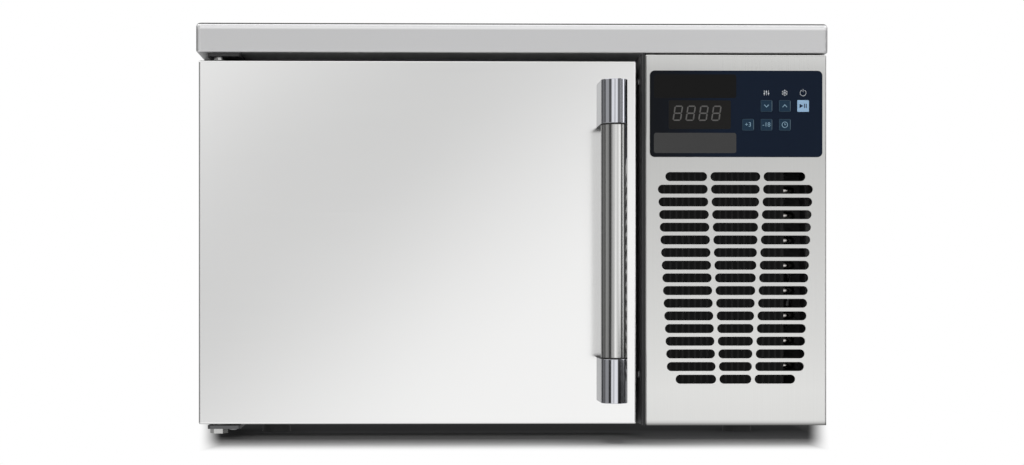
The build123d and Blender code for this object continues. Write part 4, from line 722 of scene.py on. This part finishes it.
def start_sign():
    """A triangle and two bars, for start and pause."""
    centre, face = middle_of("key_start"), face_of("key_start")
    low, high, left = centre.z - START_HALF, centre.z + START_HALF, centre.x - START_LEFT
    mesh_data = bmesh.new()
    add_plate(mesh_data, [(left, low), (left + START_LENGTH, centre.z), (left, high)], face)
    for step in PAUSE_STEPS:
        add_band(mesh_data, [(centre.x + step, low), (centre.x + step, high)], PAUSE_WIDTH, face)
    finish_piece(mesh_data, "key_start_symbol", "key_start_cap", INK_NAVY)


def clock_sign():
    """A round clock with two hands."""
    centre, face = middle_of("key_mode"), face_of("key_mode")
    middle = (centre.x, centre.z)
    mesh_data = bmesh.new()
    add_band(mesh_data, circle(middle, CLOCK_RADIUS, CLOCK_STEPS), CLOCK_STROKE, face, closed=True)
    hands = [(centre.x, centre.z + MINUTE_HAND), middle, (centre.x + HOUR_HAND, centre.z)]
    add_band(mesh_data, hands, CLOCK_STROKE, face)
    finish_piece(mesh_data, "key_mode_clock", "key_mode_cap", INK_BLUE)


def key_numbers():
    """The two target temperatures."""
    for node, number in NUMBERS.items():
        centre, face = middle_of(node), face_of(node)
        letters = bpy.data.curves.new(node + "_number", "FONT")
        letters.body = number
        letters.size = NUMBER_SIZE
        letters.align_x, letters.align_y = "CENTER", "CENTER"
        letters.extrude = PRINT / 2
        letters.materials.append(INK_BLUE)
        piece = bpy.data.objects.new(node + "_number", letters)
        bpy.context.scene.collection.objects.link(piece)
        piece.rotation_euler = (math.pi / 2, 0.0, 0.0)
        piece.location = (centre.x, face - PRINT / 2, centre.z)
        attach(piece, node + "_cap")


def icon_place(node):
    """The middle of the sign over a key, as (x, z)."""
    centre = middle_of(node)
    return centre.x, centre.z + ICON_RISE


def slider_icon():
    """Three sliders with their knobs."""
    x, z = icon_place("key_down")
    mesh_data = bmesh.new()
    for step, knob in SLIDERS:
        rod = [(x + step, z - SLIDER_HALF), (x + step, z + SLIDER_HALF)]
        add_band(mesh_data, rod, ICON_STROKE, OVERLAY_FACE)
        disc = circle((x + step, z + knob), KNOB_RADIUS, KNOB_STEPS)
        add_plate(mesh_data, disc, OVERLAY_FACE, KNOB_THICKNESS)
    finish_piece(mesh_data, "icon_sliders", "cabinet", INK_WHITE)


def snowflake_icon():
    """Crossed arms, each a little over the one before, with a pair of twigs near both ends."""
    middle = Vector(icon_place("key_up"))
    mesh_data = bmesh.new()
    for arm in range(FLAKE_ARMS):
        angle = math.pi * arm / FLAKE_ARMS + FLAKE_TURN
        reach = heading(angle) * FLAKE_REACH
        layer = PRINT + FLAKE_LAYER * arm
        add_band(mesh_data, [middle - reach, middle + reach], ICON_STROKE, OVERLAY_FACE, thickness=layer)
        for end, outward in ((-1, angle + math.pi), (1, angle)):
            fork = middle + reach * end * TWIG_PLACE
            for bend in (-1, 1):
                tip = fork + heading(outward + bend * TWIG_TURN) * TWIG_LENGTH
                add_band(mesh_data, [fork, tip], TWIG_STROKE, OVERLAY_FACE)
    finish_piece(mesh_data, "icon_snowflake", "cabinet", INK_WHITE)


def power_icon():
    """An open ring with an upright bar in its gap."""
    x, z = icon_place("key_start")
    mesh_data = bmesh.new()
    add_band(mesh_data, arc((x, z), POWER_RADIUS, *POWER_ANGLES, POWER_STEPS), ICON_STROKE, OVERLAY_FACE)
    add_band(mesh_data, [(x, z + end) for end in POWER_BAR], ICON_STROKE, OVERLAY_FACE)
    finish_piece(mesh_data, "icon_power", "cabinet", INK_WHITE)


def ring_surface(name, rings, body, look, sharp=(), open_ends=False, creases=0):
    """A smooth surface through rings of (x, y, z) points.

    Rings listed in sharp keep a crisp edge, and so do the last points of each ring, as many as creases says.
    """
    mesh_data = bmesh.new()
    loops = [[mesh_data.verts.new(point) for point in ring] for ring in rings]
    for first, second in zip(loops, loops[1:]):
        for i in range(len(first)):
            j = (i + 1) % len(first)
            mesh_data.faces.new((first[i], first[j], second[j], second[i])).smooth = True
    if not open_ends:
        mesh_data.faces.new(loops[0][::-1])
        mesh_data.faces.new(loops[-1])
    crisp = [set(loops[number]) for number in sharp]
    crisp += [{loop[-1 - point] for loop in loops} for point in range(creases)]
    for edge in mesh_data.edges:
        if any(set(edge.verts) <= line for line in crisp):
            edge.smooth = False
    return finish_piece(mesh_data, name, body, look)


def grip_round():
    """The grip's axis as (x, y), and its radius."""
    low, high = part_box("handle_grip")
    radius = (high.x - low.x) / 2
    return ((low.x + high.x) / 2, low.y + radius), radius


def round_points(axis, radius, angles):
    """Points as (x, y) round an upright axis, angles from the front toward the right."""
    return [(axis[0] + radius * math.sin(a), axis[1] - radius * math.cos(a)) for a in angles]


def grip_tube():
    """The grip tube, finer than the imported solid."""
    low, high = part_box("handle_grip")
    axis, radius = grip_round()
    angles = [2 * math.pi * i / GRIP_SIDES for i in range(GRIP_SIDES)]
    bore = radius - GRIP_WALL
    profile = ((bore, low.z), (radius, low.z), (radius, high.z), (bore, high.z), (bore, low.z))
    rings = [[(x, y, z) for x, y in round_points(axis, reach, angles)] for reach, z in profile]
    every = range(len(rings))
    tube = ring_surface("handle_tube", rings, "door", TUBE_STEEL, sharp=every, open_ends=True)
    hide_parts("handle_grip")


def handle_mount(node, outer):
    """A D-shaped mount with rounded ends, finer than the solid; outer is 1 where its free end is its top."""
    axis, radius = grip_round()
    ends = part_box(node)
    start, back = ends[outer].z, ends[1].y
    inward = -1 if outer else 1
    angles = [math.pi * (i / GRIP_SIDES - 0.5) for i in range(GRIP_SIDES + 1)]

    def outline(inset, along):
        reach = radius - inset
        points = round_points(axis, reach, angles)
        points += [(axis[0] + reach, back), (axis[0] - reach, back)]
        return [(x, y, start + inward * along) for x, y in points]

    turns = [math.pi / 2 * i / MOUNT_EDGE_STEPS for i in range(MOUNT_EDGE_STEPS + 1)]
    profile = [(MOUNT_EDGE * (1 - math.sin(t)), MOUNT_EDGE * (1 - math.cos(t))) for t in turns]
    profile.append((0.0, MOUNT_EDGE + MOUNT_HOLD))
    rings = [outline(inset, along) for inset, along in profile]
    rings += [outline(inset, MOUNT_LENGTH - along) for inset, along in profile[::-1]]
    mount = ring_surface(node + "_polished", rings, "door", MOUNT_CHROME, creases=2)
    mount.visible_glossy = False
    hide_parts(node)


overlay_print()
display_digits()
key_rims()
key_chevrons()
start_sign()
clock_sign()
key_numbers()
slider_icon()
snowflake_icon()
power_icon()
grip_tube()
handle_mount("handle_mount_lower", outer=0)
handle_mount("handle_mount_upper", outer=1)


# The floor's half width and colours
FLOOR_REACH = 6.0
FLOOR_DULL, FLOOR_PALE = (0.93, 0.93, 0.93), (0.95, 0.95, 0.95)
# The floor is shaded near the object and plain white farther off: half the shaded width at the front of the
# casing, its middle, how much it widens and leans to the right on its way back, its soft edge, and where it
# ends along Y
SHADOW_HALF, SHADOW_MIDDLE, SHADOW_FRONT, SHADOW_EDGE = 0.305, 0.0025, -0.28, 0.025
SHADOW_SPREAD, SHADOW_LEAN = 0.187, 0.0645
SHADOW_ENDS = (0.336, 0.411)
# Painted shadow on the floor along Y, deepest under the front of the casing, over the lamps' own shadow
FLOOR_PAINTED_SHADOW = (
    (-0.42, 0.58), (-0.357, 0.485), (-0.336, 0.39), (-0.315, 0.265), (-0.293, 0.19), (-0.248, 0.14),
    (-0.224, 0.14), (-0.2, 0.12), (-0.175, 0.09), (-0.1, 0.10), (0.0, 0.25), (0.3, 0.25),
)


def floor_cover(look):
    """How far the plain white covers the shaded floor, from 0 near the object to 1 farther off."""
    back = look.arithmetic("SUBTRACT", look.axis("Y"), SHADOW_FRONT)
    sideways = look.arithmetic("SUBTRACT", look.axis("X"), SHADOW_MIDDLE)
    across = look.arithmetic("ABSOLUTE", look.arithmetic("MULTIPLY_ADD", back, -SHADOW_LEAN, sideways))
    aside = look.arithmetic("MULTIPLY_ADD", back, -SHADOW_SPREAD, across)
    beside = look.smooth(aside, SHADOW_HALF, SHADOW_HALF + SHADOW_EDGE)
    along = look.arithmetic("ABSOLUTE", look.axis("Y"))
    return look.arithmetic("MAXIMUM", beside, look.smooth(along, *SHADOW_ENDS))


def floor_look():
    """Pale near the object, with the lamps' shadow and a painted shadow; plain white farther off, to the
    camera.
    """
    look = Look("floor_white")
    pale = look.blend(look.noise(scale=2.0), FLOOR_DULL, FLOOR_PALE)
    # The floor's colour carries a painted shadow along Y
    look.set(Base_Color=look.tinted(pale, look.ramp(look.axis("Y"), FLOOR_PAINTED_SHADOW)))
    look.set(Roughness=0.9, Specular_IOR_Level=0.0)
    seen = look.make("LightPath").outputs["Is Camera Ray"]
    cover = look.arithmetic("MULTIPLY", floor_cover(look), seen)
    white = look.make("Emission", {"Color": OPAQUE_WHITE, "Strength": 1.0}).outputs[0]
    both = look.make("MixShader", {0: cover, 1: look.shader.outputs[0], 2: white}).outputs[0]
    look.feed(look.tree.nodes["Material Output"].inputs["Surface"], both)
    return look.material


def make_floor():
    """A flat floor that metal doesn't mirror, because the world has its own."""
    mesh_data = bmesh.new()
    corners = ((-1, -1), (1, -1), (1, 1), (-1, 1))
    mesh_data.faces.new([mesh_data.verts.new((x * FLOOR_REACH, y * FLOOR_REACH, 0.0)) for x, y in corners])
    mesh = bpy.data.meshes.new("floor")
    mesh_data.to_mesh(mesh)
    mesh_data.free()
    mesh.materials.append(floor_look())
    floor = bpy.data.objects.new("floor", mesh)
    floor.visible_glossy = False
    bpy.context.scene.collection.objects.link(floor)


# The world's even light on what doesn't mirror it
WORLD_LIGHT = 0.22
# Brightness of the studio round the object, seen in metal, by bearing in degrees from the front
UPRIGHTS = (
    (-180, 0.35), (-125, 0.35), (-110, 0.16), (-86, 0.13), (-82, 0.41), (-54, 0.41), (-50, 0.10), (-32, 0.10),
    (-26, 0.85), (-20, 1.0), (42, 1.0), (46, 1.4), (52, 1.4), (58, 0.14), (72, 0.14), (75, 1.1),
    (88, 1.1), (92, 0.12), (125, 0.12), (140, 0.35), (180, 0.35),
)
# The same below the horizon, and the heights between which it takes over
GROUND = (
    (-180, 0.35), (-125, 0.35), (-110, 0.16), (-92, 0.13), (-88, 0.33), (-58, 0.33), (-54, 0.03), (-36, 0.03),
    (-30, 0.85), (-24, 1.0), (22, 1.0), (26, 0.9), (32, 0.05), (103, 0.05), (125, 0.12), (140, 0.35),
    (180, 0.35),
)
GROUND_HEIGHTS = (-0.030, -0.042)
# And of the floor well below it
FLOOR_SHEEN = (
    (-180, 0.42), (-100, 0.5), (-45, 0.72), (-15, 0.9), (15, 0.95), (45, 0.72), (100, 0.5), (180, 0.42),
)
FLOOR_HEIGHTS = (-0.11, -0.22)
# Brightness higher up, by the angle from the front horizon over the top to the back
CEILING = ((-180, 0.6), (20, 0.6), (44, 0.6), (54, 1.3), (118, 1.3), (128, 0.35), (180, 0.35))
CEILING_HEIGHTS = (0.28, 0.45)
# Brightness across the front softbox, by distance from its dim diagonal
SOFTBOX = (
    (-1.0, 1.0), (-0.30, 1.06), (-0.11, 1.02), (-0.035, 0.66), (0.03, 0.65),
    (0.12, 1.05), (0.17, 1.09), (0.22, 1.07), (1.0, 1.0),
)
SOFTBOX_ACROSS, SOFTBOX_UP, SOFTBOX_SHIFT = 0.66, -0.75, 0.085


class World(Nodes):
    """The world's node tree."""

    def __init__(self, name):
        world = bpy.data.worlds.new(name)
        bpy.context.scene.world = world
        world.use_nodes = True
        self.tree = world.node_tree
        self.tree.nodes.clear()

    def angle(self, opposite, adjacent):
        return self.arithmetic("DEGREES", self.arithmetic("ARCTAN2", opposite, adjacent))

    def light(self, colour, strength):
        return self.make("Background", {"Color": colour, "Strength": strength}).outputs[0]


def studio(world):
    """What metal sees: a softbox and dark uprights round it, the ground, the floor and the ceiling."""
    parts = world.make("SeparateXYZ", {"Vector": world.make("TexCoord").outputs["Generated"]}).outputs
    height = parts["Z"]
    front = world.arithmetic("MULTIPLY", parts["Y"], -1.0)
    bearing = world.angle(parts["X"], front)
    near = world.blend(
        world.smooth(height, *GROUND_HEIGHTS), world.ramp(bearing, UPRIGHTS), world.ramp(bearing, GROUND))
    walls = world.blend(world.smooth(height, *FLOOR_HEIGHTS), near, world.ramp(bearing, FLOOR_SHEEN))

    slope = world.arithmetic("MULTIPLY_ADD", height, SOFTBOX_UP, SOFTBOX_SHIFT)
    diagonal = world.arithmetic("MULTIPLY_ADD", parts["X"], SOFTBOX_ACROSS, slope)
    lit = world.tinted(walls, world.ramp(diagonal, SOFTBOX))
    ceiling = world.ramp(world.angle(height, front), CEILING)
    return world.blend(world.smooth(height, *CEILING_HEIGHTS), lit, ceiling)


def make_world():
    """White to the camera; the studio to metal; an even level to the rest."""
    world = World("studio")
    path = world.make("LightPath").outputs
    mirrored = world.arithmetic("MAXIMUM", path["Is Glossy Ray"], path["Is Transmission Ray"])
    even, seen = world.light(OPAQUE_WHITE, WORLD_LIGHT), world.light(studio(world), 1.0)
    unseen = world.make("MixShader", {0: mirrored, 1: even, 2: seen}).outputs[0]
    plain = world.light(OPAQUE_WHITE, 1.0)
    both = world.make("MixShader", {0: path["Is Camera Ray"], 1: unseen, 2: plain}).outputs[0]
    world.make("OutputWorld", {"Surface": both})


# Soft lamps for what isn't metal: metal sees the world's own softboxes instead
LAMPS = {
    "overhead": {"place": (0.0, -0.1, 2.4), "aim": (0.0, -0.1, 0.0), "size": (0.8, 0.68), "watts": 45.0},
    "front": {"place": (-0.9, -2.4, 0.6), "aim": (0.0, -0.28, 0.2), "size": (1.2, 0.8), "watts": 24.0},
}


def add_lamp(name, place, aim, size, watts):
    lamp = bpy.data.lights.new(name, "AREA")
    lamp.shape = "RECTANGLE"
    lamp.size, lamp.size_y = size
    lamp.energy = watts
    holder = bpy.data.objects.new(name, lamp)
    holder.location = place
    holder.rotation_euler = (Vector(aim) - Vector(place)).to_track_quat("-Z", "Y").to_euler()
    holder.visible_glossy = False
    bpy.context.scene.collection.objects.link(holder)


def make_camera():
    data = bpy.data.cameras.new("camera")
    data.sensor_width = SENSOR
    data.lens = FOCAL_PIXELS * SENSOR / IMAGE_WIDTH
    data.shift_x = (IMAGE_WIDTH / 2 - CENTRE_PIXEL[0]) / IMAGE_WIDTH
    data.shift_y = (CENTRE_PIXEL[1] - IMAGE_HEIGHT / 2) / IMAGE_WIDTH
    data.clip_start, data.clip_end = CAMERA_REACH
    camera = bpy.data.objects.new("camera", data)
    camera.location = CAMERA_PLACE
    camera.rotation_euler = (math.pi / 2, 0.0, -CAMERA_YAW)
    bpy.context.scene.collection.objects.link(camera)
    bpy.context.scene.camera = camera


make_floor()
make_world()
for lamp_name, settings in LAMPS.items():
    add_lamp(lamp_name, **settings)
make_camera()
bpy.context.scene.view_settings.view_transform = "Standard"
